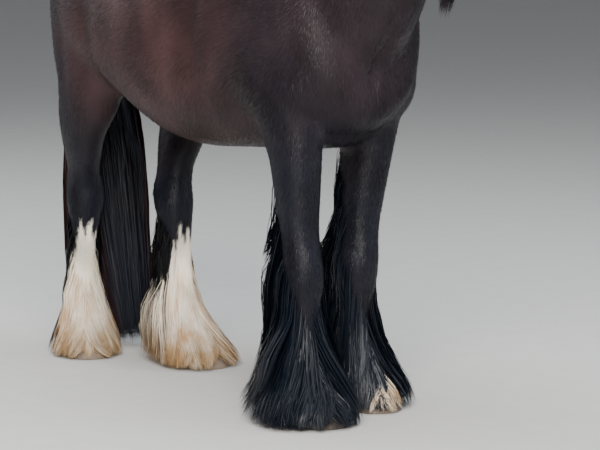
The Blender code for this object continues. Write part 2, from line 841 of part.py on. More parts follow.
def feather_reach(leg, height, angle):
    """How far the feather spreads from the middle of a leg, in a direction measured from its toe."""
    rows = FORE_FEATHER if leg.fore else HIND_FEATHER
    for upper, lower in zip(rows, rows[1:]):
        if height >= lower[0]:
            share = max(0.0, (upper[0] - height) / (upper[0] - lower[0]))
            inward, outward, front, back = (blend(upper[i], lower[i], share) for i in (1, 2, 3, 4))
            break
    left = math.sin(angle) > 0
    outer = left == (leg.hoof[0] > 0)
    wide = outward if outer else inward
    deep = front if math.cos(angle) > 0 else back
    return leg.spread / math.sqrt((math.sin(angle) / wide) ** 2 + (math.cos(angle) / deep) ** 2)


def feather_lock(leg, root, tip, angle, sweep, share, width, thickness):
    """One lock of a leg's feather, from its root down to the height of its tip."""
    path, outward = [], []
    steps = 4 if root - tip > 0.15 else 3
    for i in range(steps + 1):
        part = i / steps
        height = blend(root, tip, part)
        bearing = angle + sweep * part
        bare = leg_reach(leg, height, bearing)
        full = max(feather_reach(leg, height, bearing), bare + 0.010)
        reach = blend(bare + 0.006, full, share * min(1.0, 1.5 * part) ** 1.3)
        if i == 0:
            reach = bare - 0.014
        across, forward = leg_line(leg, height)
        heading = bearing + leg.toe_out
        out = spot(math.sin(heading), math.cos(heading), 0)
        path.append(spot(across, forward, height) + out * reach)
        outward.append(out)
    return lock(path, outward, width, thickness, 4.0)


def feather(leg, rows, chance):
    """The locks of one leg, in rows of a root and tip height, an arc round the heel, a count and sizes."""
    made = []
    for root, tip, arc, count, width, share in rows:
        for i in range(count):
            place = (i + 0.5) / count * 2 - 1
            angle = math.pi + place * arc + chance.uniform(-0.06, 0.06)
            made.append(feather_lock(
                leg, root + chance.uniform(-0.02, 0.02), tip + chance.uniform(0, 0.02), angle,
                -place * chance.uniform(0.0, 0.20), share - 0.10 * (i % 2),
                width * chance.uniform(0.85, 1.10), 0.007))
    return made


FORE_ROWS = [
    (0.415, 0.150, 0.9, 3, 0.066, 1.00),
    (0.330, 0.040, 1.7, 5, 0.080, 0.95),
    (0.240, 0.008, 2.1, 6, 0.090, 0.80),
    (0.130, 0.006, math.pi, 7, 0.108, 0.45),
]
HIND_ROWS = [
    (0.400, 0.180, 1.2, 3, 0.052, 1.00),
    (0.300, 0.070, 1.8, 5, 0.062, 0.95),
    (0.220, 0.008, 2.2, 6, 0.076, 0.85),
    (0.140, 0.006, math.pi, 8, 0.096, 0.45),
]


def tree_of(source):
    """A search tree over an object's skin."""
    work = bmesh.new()
    work.from_mesh(source.data)
    tree = BVHTree.FromBMesh(work)
    work.free()
    return tree


def draped(start, steps, length, heading, sag, tree, lift):
    """A path that leaves start and lies along the skin, and the way out from the skin at each point."""
    place, normal, _, _ = tree.find_nearest(start)
    way = (heading - normal * heading.dot(normal)).normalized()
    path = [place - normal * 0.014 - way * 0.008]
    outward = [normal]
    point = place + normal * lift
    for _ in range(steps):
        path.append(point)
        outward.append(normal)
        way = (way + Vector((0, 0, -sag))).normalized()
        ahead = point + way * (length / steps)
        place, normal, _, _ = tree.find_nearest(ahead)
        point = place + normal * lift
    return path, outward


def crest_point(tree, forward):
    """The top of the neck at a place along it."""
    return tree.ray_cast(turned(spot(0, forward, 2.2)), Vector((0, 0, -1)))[0]


def mane(tree, chance):
    """The mane's bed along the crest, and locks that fall from it to both sides in two layers."""
    bed = []
    for i in range(9):
        point = crest_point(tree, blend(-0.080, 0.375, i / 8))
        bed.append(Ring(point.x, -point.y, point.z - 0.004, 0.034, 0.032, 0.024))
    made = [tube("bed", bed, sides=10, steps=1, yaw=-NECK_TURN * 0.8)]
    for layer, count, lift in ((0, 7, 0.009), (1, 5, 0.022)):
        for side in (-1, 1):
            for i in range(count):
                forward = blend(0.360, -0.060, (i + 0.5 * layer + 0.2) / count) + chance.uniform(-0.01, 0.01)
                turn = turn_at(forward).to_3x3()
                start = crest_point(tree, forward) + turn @ Vector((side * 0.018, 0, 0))
                length = (0.36 if side > 0 else 0.30) * chance.uniform(0.85, 1.1)
                heading = turn @ Vector((side, chance.uniform(0.0, 0.25), 0.05))
                path, outward = draped(start, 5, length, heading, 1.1, tree, lift)
                made.append(lock(path, outward, 0.064 * chance.uniform(0.85, 1.1), 0.007))
    return made


def forelock(tree, chance):
    """Locks that fall from between the ears over the forehead."""
    made = []
    for layer, count, lift in ((0, 4, 0.006), (1, 2, 0.014)):
        for i in range(count):
            place = (i + 0.5) / count * 2 - 1
            start = on_head(0.020 + 0.012 * layer, 0.06, place * 0.020)
            heading = on_head(1.0, 0.3, place * 0.22) - on_head(0.0, 0.0)
            path, outward = draped(start, 5, chance.uniform(0.22, 0.29), heading, 0.05, tree, lift)
            made.append(lock(path, outward, 0.032 * chance.uniform(0.85, 1.15), 0.006))
    return made


def beard(chance):
    """Short locks that hang from the chin."""
    made = []
    for i in range(6):
        place = (i + 0.5) / 6 * 2 - 1
        start = on_head(0.545 - 0.03 * (i % 2), -0.066, place * 0.020)
        length = chance.uniform(0.045, 0.075)
        path, outward = [], []
        for step in range(5):
            part = step / 4
            drop = blend(-0.014, length, part)
            path.append(start + Vector((place * 0.012 * part, 0.012 * part * part, -drop)))
            outward.append(spot(place, -0.4, 0).normalized())
        made.append(lock(path, outward, 0.015, 0.006))
    return made


def face_locks(tree, chance):
    """The forelock and the beard, turned with the head."""
    return [with_turn(one) for one in forelock(tree, chance) + beard(chance)]


# Tail: height, then the middle's distance to the left and forward, and half its width and depth
TAIL = [
    (1.205, 0.000, -1.276, 0.030, 0.018),
    (1.100, 0.004, -1.326, 0.060, 0.030),
    (0.950, 0.008, -1.334, 0.095, 0.040),
    (0.700, 0.026, -1.305, 0.118, 0.050),
    (0.450, 0.034, -1.262, 0.108, 0.052),
    (0.200, 0.040, -1.215, 0.092, 0.050),
    (0.000, 0.044, -1.175, 0.066, 0.045),
]
DOCK = [
    Ring(0, -1.080, 1.235, 0.056, 0.046, 0.046),
    Ring(0, -1.160, 1.228, 0.052, 0.042, 0.042),
    Ring(0, -1.240, 1.188, 0.046, 0.036, 0.036),
    Ring(0, -1.282, 1.110, 0.036, 0.028, 0.028),
    Ring(0, -1.292, 1.050, 0.018, 0.016, 0.016),
]


def tail_row(height):
    """The middle and the half sizes of the tail at a height."""
    for upper, lower in zip(TAIL, TAIL[1:]):
        if height >= lower[0]:
            share = max(0.0, (upper[0] - height) / (upper[0] - lower[0]))
            return [blend(upper[i], lower[i], share) for i in (1, 2, 3, 4)]
    return TAIL[-1][1:]


def tail_locks(chance):
    """Long locks that hang from the dock down to the floor, in an outer and an inner ring."""
    made = []
    for count, spread, width in ((11, 1.0, 0.064), (4, 0.5, 0.060)):
        for i in range(count):
            bearing = 2 * math.pi * (i + chance.uniform(-0.2, 0.2)) / count
            root = 1.19 - 0.10 * (i % 3) / 2 - chance.uniform(0.0, 0.02)
            tip = 0.012 + 0.10 * chance.random() ** 2
            twist = chance.uniform(-0.3, 0.3)
            path, outward = [], []
            for step in range(6):
                part = step / 5
                height = blend(root, tip, part)
                across, forward, half_width, depth = tail_row(height)
                turn = bearing + twist * part
                reach = (spread - 0.12 * (i % 2)) * min(1.0, 0.3 + 1.6 * part) * (1 - 0.25 * part ** 3)
                if step == 0:
                    across, forward, half_width, depth = 0.0, -1.272, 0.010, 0.008
                path.append(spot(across + math.cos(turn) * half_width * reach,
                                 forward - math.sin(turn) * depth * reach, height))
                outward.append(spot(math.cos(turn) * depth, -math.sin(turn) * half_width, 0).normalized())
            made.append(lock(path, outward, width * chance.uniform(0.9, 1.1), 0.012, 3.5))
    return made


# Colours of the parts
BLACK = (0.020, 0.017, 0.018)
CREAM = (0.62, 0.56, 0.46)
HORN = (0.10, 0.085, 0.075)
PALE_HORN = (0.45, 0.36, 0.29)
EYE = (0.02, 0.012, 0.008)


def main():
    """Builds the horse, node by node, and sets it on the origin."""
    for leftover in list(bpy.data.objects):
        bpy.data.objects.remove(leftover)
    whole = with_turn(body_flesh())
    skin = tree_of(whole)
    nodes = parted(whole)
    for leg in LEGS:
        name = leg.name + "_lower"
        bare = without_foot(nodes[name], leg)
        rows = FORE_ROWS if leg.fore else HIND_ROWS
        nodes[name] = with_locks(bare, lambda chance: feather(leg, rows, chance), name)
        nodes[leg.name + "_hoof"] = hoof(leg)
    nodes["neck"] = with_locks(nodes["neck"], lambda chance: mane(skin, chance), "neck")

    fine_head = head_flesh()
    face = tree_of(fine_head)
    head = bare_head(fine_head)
    for side, name in ((-1, "ear_right"), (1, "ear_left")):
        cup = cut(with_turn(ear(side)), [grown(head, GAP, "near")], "DIFFERENCE", name)
        nodes[name] = largest_body(cup, name)
        nodes[name.replace("ear", "eye")] = with_turn(ball(eye_centre(side), EYE_RADIUS, 16, 10))
    nodes["head"] = with_locks(head, lambda chance: face_locks(face, chance), "head")
    tail = with_locks(tube("dock", DOCK, sides=12, steps=2), tail_locks, "tail")
    clear = cut(tail, [grown(nodes["torso"], 2 * GAP, "near")], "DIFFERENCE", "tail")
    nodes["tail"] = largest_body(clear, "tail")

    points = [v.co for node in nodes.values() for v in node.data.vertices]
    middle = Vector((
        (min(p.x for p in points) + max(p.x for p in points)) / 2,
        (min(p.y for p in points) + max(p.y for p in points)) / 2,
        0.0,
    ))
    for name, node in nodes.items():
        node.name = name
        node.data.transform(Matrix.Translation(-middle))
        pale = name.startswith("hind") and name.endswith("lower")
        colour = CREAM if pale else BLACK
        if name.endswith("hoof"):
            colour = HORN if name == "fore_right_hoof" else PALE_HORN
        if name.startswith("eye"):
            colour = EYE
        painted(node, colour, 0.2 if name.startswith("eye") else 0.6)


main()
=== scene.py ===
"""The cob horse as a still model: one skin with its coat, mane, tail and feather, eyes, ears and hooves."""

import logging
import math
from collections.abc import Callable, Sequence
from dataclasses import dataclass, field
from enum import Enum
from typing import NamedTuple

import bmesh
import bpy
import numpy as np
from mathutils import Matrix, Vector
from mathutils.bvhtree import BVHTree

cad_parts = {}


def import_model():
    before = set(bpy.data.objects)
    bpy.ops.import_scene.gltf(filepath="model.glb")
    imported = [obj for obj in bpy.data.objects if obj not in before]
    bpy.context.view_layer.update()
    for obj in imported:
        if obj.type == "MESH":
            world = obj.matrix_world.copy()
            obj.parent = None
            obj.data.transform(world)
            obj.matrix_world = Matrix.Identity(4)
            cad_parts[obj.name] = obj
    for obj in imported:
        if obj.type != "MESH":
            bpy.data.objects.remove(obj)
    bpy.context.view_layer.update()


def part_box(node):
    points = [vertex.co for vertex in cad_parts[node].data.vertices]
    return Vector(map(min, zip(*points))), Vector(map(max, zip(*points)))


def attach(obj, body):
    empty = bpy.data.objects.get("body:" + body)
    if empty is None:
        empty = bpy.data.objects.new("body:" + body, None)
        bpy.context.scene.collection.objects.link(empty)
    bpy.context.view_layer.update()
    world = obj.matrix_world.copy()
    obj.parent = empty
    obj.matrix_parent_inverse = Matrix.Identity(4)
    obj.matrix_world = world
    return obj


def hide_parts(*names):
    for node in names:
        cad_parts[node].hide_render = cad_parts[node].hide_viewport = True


LOG = logging.getLogger("cob")
Array = np.ndarray

# The build of the horse, in metres. Across is to the horse's left, forward to its nose.
HEAD_LENGTH = 0.585
HEAD_SLOPE = math.radians(68)
HEAD_TILT = HEAD_SLOPE - math.pi / 2
POLL = (0.49, 1.685)
NECK_TURN = math.radians(20)
NECK_TURN_FROM = 0.06
NECK_TURN_LENGTH = 0.40
EYE_RADIUS = 0.0225
EYE_PLACE = (0.185, 0.030, 0.070)
LID_WIDTH = 0.0192
LID_ABOVE = 0.0128
LID_BELOW = 0.0108
NOSTRIL_PLACE = (0.542, 0.016, 0.050)
EAR_LENGTH = 0.150
HOOF_TOP = 0.068
HOOF_SLOPE = math.radians(14)
COAT_DEPTH = 0.002
PATCH = 0.003


def spot(across: float, forward: float, height: float) -> Vector:
    """A point from its distance to the left, forward and up."""
    return Vector((across, -forward, height))


def turned(points: Array) -> Array:
    """Points after the neck has turned to the right about its base.

    Args:
        points: An array of points before the turn, one in each row.

    Returns:
        The same points after the turn.
    """
    along = -points[:, 1] - NECK_TURN_FROM
    radius = NECK_TURN_LENGTH / NECK_TURN
    bent = np.clip(along, 0.0, NECK_TURN_LENGTH)
    rest = np.maximum(along - bent, 0.0)
    angle = bent / radius
    across = -radius + (radius + points[:, 0]) * np.cos(angle) - rest * np.sin(angle)
    forward = NECK_TURN_FROM + (radius + points[:, 0]) * np.sin(angle) + rest * np.cos(angle)
    moved = np.column_stack([across, -forward, points[:, 2]])
    return np.where((along > 0)[:, None], moved, points)


def turned_point(point: Vector) -> Vector:
    """One point after the neck has turned."""
    return Vector(turned(np.array([point]))[0])


def on_head(along: float, dorsal: float, across: float = 0.0) -> Vector:
    """A point of the head: along from the poll to the lips, dorsal towards the front of the face."""
    forward = POLL[0] + along * math.cos(HEAD_SLOPE) + dorsal * math.sin(HEAD_SLOPE)
    height = POLL[1] - along * math.sin(HEAD_SLOPE) + dorsal * math.cos(HEAD_SLOPE)
    return spot(across, forward, height)


def on_face(place: tuple, side: int) -> Vector:
    """A point of one side of the face, from how far along the head, dorsal and across it is."""
    along, dorsal, across = place
    return on_head(along, dorsal, side * across)


def eye_centre(side: int) -> Vector:
    """The middle of one eyeball before the neck turns."""
    return on_face(EYE_PLACE, side)


def eye_frame(side: int) -> tuple[Vector, Vector, Vector]:
    """Which way one eye looks before the neck turns, and the ways along and across its lids."""
    gaze = Vector((side, -0.42, 0.08)).normalized()
    level = Vector((0, 0, 1)).cross(gaze).normalized()
    return gaze, level, gaze.cross(level)


def sided(name: str, side: int) -> str:
    """The name of a piece of the right side at -1 or of the left side at 1."""
    return name + ("_right" if side < 0 else "_left")


def units(vectors: Array) -> Array:
    """Each vector of an array made one long."""
    return vectors / np.maximum(np.linalg.norm(vectors, axis=-1, keepdims=True), 1e-9)


class Ring(NamedTuple):
    """One cross-section: its centre, half its width, and its reach above and below the centre."""

    across: float
    forward: float
    height: float
    half_width: float
    above: float
    below: float
    power: float = 2.2


def head_ring(along: float, half_width: float, above: float, below: float) -> Ring:
    """A ring of the head at a distance along it."""
    centre = on_head(along, 0.0)
    return Ring(0.0, -centre.y, centre.z, half_width, above, below)


# Meshes

def linked(name: str, mesh: bpy.types.Mesh) -> bpy.types.Object:
    """An object for a mesh, put in the scene."""
    made = bpy.data.objects.new(name, mesh)
    bpy.context.scene.collection.objects.link(made)
    return made


def from_arrays(name: str, points: Array, faces: Array) -> bpy.types.Object:
    """An object from arrays of points and of faces that all have as many corners.

    Args:
        name: The name of the object.
        points: One point in each row.
        faces: The numbers of a face's points in each row.

    Returns:
        The new object, shaded smooth.
    """
    mesh = bpy.data.meshes.new(name)
    corners = faces.shape[1]
    mesh.vertices.add(len(points))
    mesh.vertices.foreach_set("co", np.ascontiguousarray(points, np.float32).ravel())
    mesh.loops.add(faces.size)
    mesh.loops.foreach_set("vertex_index", np.ascontiguousarray(faces, np.int32).ravel())
    mesh.polygons.add(len(faces))
    mesh.polygons.foreach_set("loop_start", np.arange(0, faces.size, corners, dtype=np.int32))
    mesh.polygons.foreach_set("use_smooth", np.ones(len(faces), bool))
    mesh.update(calc_edges=True)
    return linked(name, mesh)


def positions(target: bpy.types.Object) -> Array:
    """The points of an object's mesh, one in each row."""
    found = np.empty(len(target.data.vertices) * 3, np.float32)
    target.data.vertices.foreach_get("co", found)
    return found.reshape(-1, 3).astype(float)


def move_to(target: bpy.types.Object, points: Array) -> None:
    """Puts an object's points at new places."""
    target.data.vertices.foreach_set("co", np.ascontiguousarray(points, np.float32).ravel())
    target.data.update()


def settled(target: bpy.types.Object, shift: Vector) -> bpy.types.Object:
    """A piece after the neck has turned, in the model's frame and shaded smooth."""
    move_to(target, turned(positions(target)) + np.array(shift))
    target.data.shade_smooth()
    return target


def normals(target: bpy.types.Object) -> Array:
    """The way out at each point of an object's mesh."""
    found = np.empty(len(target.data.vertices) * 3, np.float32)
    target.data.vertex_normals.foreach_get("vector", found)
    return found.reshape(-1, 3).astype(float)


def mark(target: bpy.types.Object, name: str, values: Array) -> None:
    """Stores a number or a vector at each point of an object, under a name its material reads."""
    vector = values.ndim == 2
    layer = target.data.attributes.new(name, "FLOAT_VECTOR" if vector else "FLOAT", "POINT")
    layer.data.foreach_set("vector" if vector else "value", np.ascontiguousarray(values, np.float32).ravel())


def marked(target: bpy.types.Object, name: str, vector: bool = False) -> Array:
    """Reads back what mark stored."""
    found = np.empty(len(target.data.vertices) * (3 if vector else 1), np.float32)
    target.data.attributes[name].data.foreach_get("vector" if vector else "value", found)
    return found.reshape(-1, 3).astype(float) if vector else found.astype(float)


def evaluated(source: bpy.types.Object, name: str) -> bpy.types.Object:
    """A plain object with the mesh that source's modifiers give. Source is removed."""
    graph = bpy.context.evaluated_depsgraph_get()
    mesh = bpy.data.meshes.new_from_object(source.evaluated_get(graph))
    made = linked(name, mesh)
    bpy.data.objects.remove(source)
    mesh.name = name
    return made


def catmull(a: float, b: float, c: float, d: float, t: float) -> float:
    """The value between b and c on a smooth curve through four values."""
    return b + 0.5 * t * (c - a + t * (2 * a - 5 * b + 4 * c - d + t * (3 * (b - c) + d - a)))


def between(rings: Sequence[Ring], steps: int) -> list[Ring]:
    """The rings, with more of them laid smoothly between each two."""
    last = len(rings) - 1
    found = []
    for i in range(last):
        near = [rings[max(i - 1, 0)], rings[i], rings[i + 1], rings[min(i + 2, last)]]
        found += [Ring(*[catmull(*four, step / steps) for four in zip(*near)]) for step in range(steps)]
    return found + [rings[last]]


def rounded(cosine: float, power: float) -> float:
    """A superellipse's coordinate for a circle's."""
    return math.copysign(abs(cosine) ** (2 / power), cosine)


def bridged(work: bmesh.types.BMesh, rows: Sequence[list], beside: Sequence[list]) -> None:
    """Lays faces from each closed row of points to the one beside it, and turns all faces outward."""
    for low, high in zip(rows, beside):
        for j in range(len(low)):
            k = (j + 1) % len(low)
            work.faces.new((low[j], low[k], high[k], high[j]))
    bmesh.ops.recalc_face_normals(work, faces=work.faces)


def tube(rings: Sequence[Ring], sides: int = 24, steps: int = 5, yaw: float = 0.0) -> bmesh.types.BMesh:
    """A closed tube through rings.

    Args:
        rings: The cross-sections, from one end to the other.
        sides: How many points each of them has.
        steps: How many rings are laid from each one to the next.
        yaw: How far the tube's left side is turned at its far end.

    Returns:
        The tube as a mesh under way.
    """
    rings = between(rings, steps)
    centres = [spot(r.across, r.forward, r.height) for r in rings]
    work = bmesh.new()
    rows = []
    for i, ring in enumerate(rings):
        tangent = (centres[min(i + 1, len(rings) - 1)] - centres[max(i - 1, 0)]).normalized()
        side = Vector((1, 0, 0))
        side.rotate(Matrix.Rotation(yaw * i / (len(rings) - 1), 3, "Z"))
        up = tangent.cross(side).normalized()
        row = []
        for j in range(sides):
            angle = 2 * math.pi * j / sides
            reach = ring.above if math.sin(angle) > 0 else ring.below
            out = side * (ring.half_width * rounded(math.cos(angle), 2.1))
            row.append(work.verts.new(centres[i] + out + up * (reach * rounded(math.sin(angle), ring.power))))
        rows.append(row)
    work.faces.new(rows[0][::-1])
    work.faces.new(rows[-1])
    bridged(work, rows, rows[1:])
    return work


def muscle(centre: Vector, radii: tuple, slope: float = 0.0) -> bmesh.types.BMesh:
    """A rounded mass: radii across, forward and up, sloped in the side view."""
    place = Matrix.Translation(centre) @ Matrix.Rotation(slope, 4, "X") @ Matrix.Diagonal((*radii, 1.0))
    work = bmesh.new()
    bmesh.ops.create_uvsphere(work, u_segments=24, v_segments=14, radius=1.0, matrix=place)
    return work


def joined(name: str, parts: Sequence[bmesh.types.BMesh]) -> bpy.types.Object:
    """The meshes under way as one object, not yet fused."""
    whole = bmesh.new()
    for part in parts:
        mesh = bpy.data.meshes.new("part")
        part.to_mesh(mesh)
        part.free()
        whole.from_mesh(mesh)
        bpy.data.meshes.remove(mesh)
    mesh = bpy.data.meshes.new(name)
    whole.to_mesh(mesh)
    whole.free()
    return linked(name, mesh)


# Finishes

class Shader:
    """A material's node tree under way, with short calls for its nodes."""

    def __init__(self, name: str) -> None:
        """Starts a material with an empty principled surface."""
        self.material = bpy.data.materials.new(name)
        self.material.use_nodes = True
        self.tree = self.material.node_tree
        self.surface = self.tree.nodes["Principled BSDF"]

    def put(self, socket: bpy.types.NodeSocket, value: object) -> None:
        """Links a socket to another one, or sets its number or colour."""
        if isinstance(value, bpy.types.NodeSocket):
            self.tree.links.new(value, socket)
        elif isinstance(value, tuple) and socket.type == "RGBA":
            socket.default_value = (*value, 1.0)
        else:
            socket.default_value = value

    def node(self, kind: str, inputs: dict, **settings: object) -> bpy.types.Node:
        """A new node.

        Args:
            kind: The node's type, without its common start.
            inputs: A value or a link for each input, by its name or number.
            settings: The node's own settings.

        Returns:
            The node.
        """
        made = self.tree.nodes.new("ShaderNode" + kind)
        for key, value in settings.items():
            setattr(made, key, value)
        for key, value in inputs.items():
            self.put(made.inputs[key], value)
        return made

    def attribute(self, name: str) -> bpy.types.NodeSocket:
        """A number stored at each point of the piece."""
        return self.node("Attribute", {}, attribute_name=name).outputs["Fac"]

    def place(self, scale: tuple = (1.0, 1.0, 1.0)) -> bpy.types.NodeSocket:
        """The piece's own coordinates, scaled."""
        source = self.node("TexCoord", {}).outputs["Object"]
        return self.node("Mapping", {"Vector": source, "Scale": scale}).outputs["Vector"]

    def noise(self, place: bpy.types.NodeSocket, scale: float, detail: float = 2.0) -> bpy.types.NodeSocket:
        """A noise from 0 to 1."""
        return self.node("TexNoise", {"Vector": place, "Scale": scale, "Detail": detail}).outputs["Fac"]

    def sums(self, operation: str, first: object, second: object) -> bpy.types.NodeSocket:
        """Arithmetic on two numbers."""
        return self.node("Math", {0: first, 1: second}, operation=operation).outputs[0]

    def span(self, value: object, low: float, high: float, to_low: float,
             to_high: float) -> bpy.types.NodeSocket:
        """A number mapped from one range to another and held inside it."""
        made = self.node("MapRange", {"Value": value, "From Min": low, "From Max": high,
                                      "To Min": to_low, "To Max": to_high})
        return made.outputs["Result"]

    def mix(self, share: object, first: object, second: object, blend: str = "MIX") -> bpy.types.NodeSocket:
        """Two colours mixed by a share."""
        made = self.node("Mix", {0: share, 6: first, 7: second}, data_type="RGBA", blend_type=blend)
        return made.outputs[2]

    def bump(self, height: bpy.types.NodeSocket, strength: float, depth: float) -> None:
        """Raises the surface by a height."""
        made = self.node("Bump", {"Height": height, "Strength": strength, "Distance": depth})
        self.tree.links.new(made.outputs["Normal"], self.surface.inputs["Normal"])

    def finish(self, **sockets: object) -> bpy.types.Material:
        """Sets the surface's sockets, named with underscores, and gives the material."""
        for key, value in sockets.items():
            self.put(self.surface.inputs[key.replace("_", " ").title().replace("Ior", "IOR")], value)
        return self.material


class Slot(Enum):
    """The finishes that the model names."""

    COAT = "coat"
    LONG_HAIR = "long_hair"
    DARK_FEATHER = "dark_feather"
    WHITE_FEATHER = "white_feather"
    DARK_HORN = "dark_horn"
    PALE_HORN = "pale_horn"
    EYE = "eye"


@dataclass(frozen=True)
class HairFinish:
    """Hair or haired skin: dark, warm brown, white or stained as its marks say, with painted sky sheen in its
    blacks and painted patches of sheen and shade over its tone.
    """

    name: str
    # The hair's black, with a blue tint that is painted sheen reflected from the sky.
    black_and_sky_sheen: tuple = (0.0080, 0.0078, 0.0098)
    brown: tuple = (0.056, 0.0275, 0.0275)
    white: tuple = (0.95, 0.89, 0.77)
    stain: tuple = (0.62, 0.33, 0.12)
    soil: tuple = (0.35, 0.215, 0.095)
    silver: tuple = (0.23, 0.235, 0.245)
    bare: tuple = (0.018, 0.014, 0.015)
    roughness: float = 0.40
    specular: float = 0.24
    bumps: float = 0.20
    # How far patches of painted sheen and shade, standing for light on the muscles, lift and lower the tone.
    painted_sheen: float = 0.08

    def material(self) -> bpy.types.Material:
        """The finish as a material."""
        make = Shader(self.name)
        place = make.place()
        broad = make.noise(place, 5.0, 4.0)
        fine = make.noise(place, 260.0, 2.0)
        tone = make.sums("ADD", make.attribute("tone"), make.sums("MULTIPLY", fine, 0.5))
        tone = make.span(tone, 0.2, 1.3, 0.70, 1.35)
        warm = make.sums("ADD", make.attribute("warm"), make.sums("MULTIPLY", broad, 0.4))
        warm = make.span(warm, 0.2, 1.2, 0.0, 1.0)
        dark = make.mix(warm, self.black_and_sky_sheen, self.brown)
        dark = make.mix(make.attribute("silver"), dark, self.silver)
        dark = make.mix(make.attribute("naked"), dark, self.bare)
        patchy = make.noise(make.place((1.0, 1.0, 0.45)), 22.0, 3.0)
        stained = make.sums("MULTIPLY", make.attribute("stain"), make.span(patchy, 0.38, 0.62, 0.15, 1.0))
        pale = make.mix(stained, self.white, self.stain)
        pale = make.mix(make.attribute("soil"), pale, self.soil)
        colour = make.mix(make.attribute("white"), dark, pale)
        # Broad patches of painted sheen and shade, where the muscles would catch or lose the light.
        painted_muscle_sheen = make.noise(make.place((1.0, 0.8, 0.6)), 9.0, 1.0)
        painted_muscle_sheen = make.span(painted_muscle_sheen, 0.35, 0.65, 1 - self.painted_sheen, 1 + self.painted_sheen)
        tone = make.sums("MULTIPLY", tone, painted_muscle_sheen)
        grey = make.node("CombineColor", {0: tone, 1: tone, 2: tone}).outputs[0]
        colour = make.mix(1.0, colour, grey, "MULTIPLY")
        make.bump(make.sums("ADD", fine, make.sums("MULTIPLY", broad, 0.5)), self.bumps, 0.002)
        return make.finish(base_color=colour, roughness=self.roughness, specular_ior_level=self.specular)


@dataclass(frozen=True)
class HornFinish:
    """The wall of a hoof, with its growth rings and the fine lines down it."""

    name: str
    top: tuple
    base: tuple
    streak: tuple

    def material(self) -> bpy.types.Material:
        """The finish as a material."""
        make = Shader(self.name)
        rings = make.noise(make.place((2.0, 2.0, 60.0)), 3.0, 3.0)
        lines = make.noise(make.place((1.0, 1.0, 0.05)), 190.0, 2.0)
        mud = make.noise(make.place(), 34.0, 4.0)
        down = make.attribute("down")
        colour = make.mix(down, self.top, self.base)
        colour = make.mix(make.span(lines, 0.45, 0.75, 0.0, 0.6), colour, self.streak)
        colour = make.mix(make.span(mud, 0.5, 0.8, 0.0, 0.5), colour, (0.12, 0.085, 0.055))
        make.bump(make.sums("ADD", rings, make.sums("MULTIPLY", lines, 0.4)), 0.5, 0.0025)
        return make.finish(base_color=colour, roughness=make.span(mud, 0.3, 0.7, 0.38, 0.62))


@dataclass(frozen=True)
class EyeFinish:
    """A dark brown eye with a long level pupil and a wet surface."""

    name: str = "horse_eye"
    iris: tuple = (0.032, 0.014, 0.007)
    rim: tuple = (0.012, 0.007, 0.005)
    pupil: tuple = (0.0015, 0.0018, 0.0030)

    def material(self) -> bpy.types.Material:
        """The finish as a material."""
        make = Shader(self.name)
        rays = make.noise(make.place(), 420.0, 3.0)
        colour = make.mix(make.span(rays, 0.35, 0.65, 0.0, 0.7), self.iris, self.rim)
        colour = make.mix(make.span(make.attribute("gaze"), 0.55, 0.8, 0.0, 1.0), colour, self.rim)
        colour = make.mix(make.span(make.attribute("pupil"), 0.9, 1.1, 1.0, 0.0), colour, self.pupil)
        return make.finish(base_color=colour, roughness=0.06, specular_ior_level=0.6, coat_weight=1.0,
                           coat_roughness=0.02)


# The flesh

@dataclass(frozen=True)
class Swell:
    """A soft rise of the skin, or a hollow where its height is below zero."""

    place: tuple
    radii: tuple
    height: float

    def over(self, points: Array) -> Array:
        """How far it lifts the skin at each point."""
        away = (points - np.array(spot(*self.place))) / np.array(self.radii)
        return self.height * np.exp(-(away ** 2).sum(axis=1))


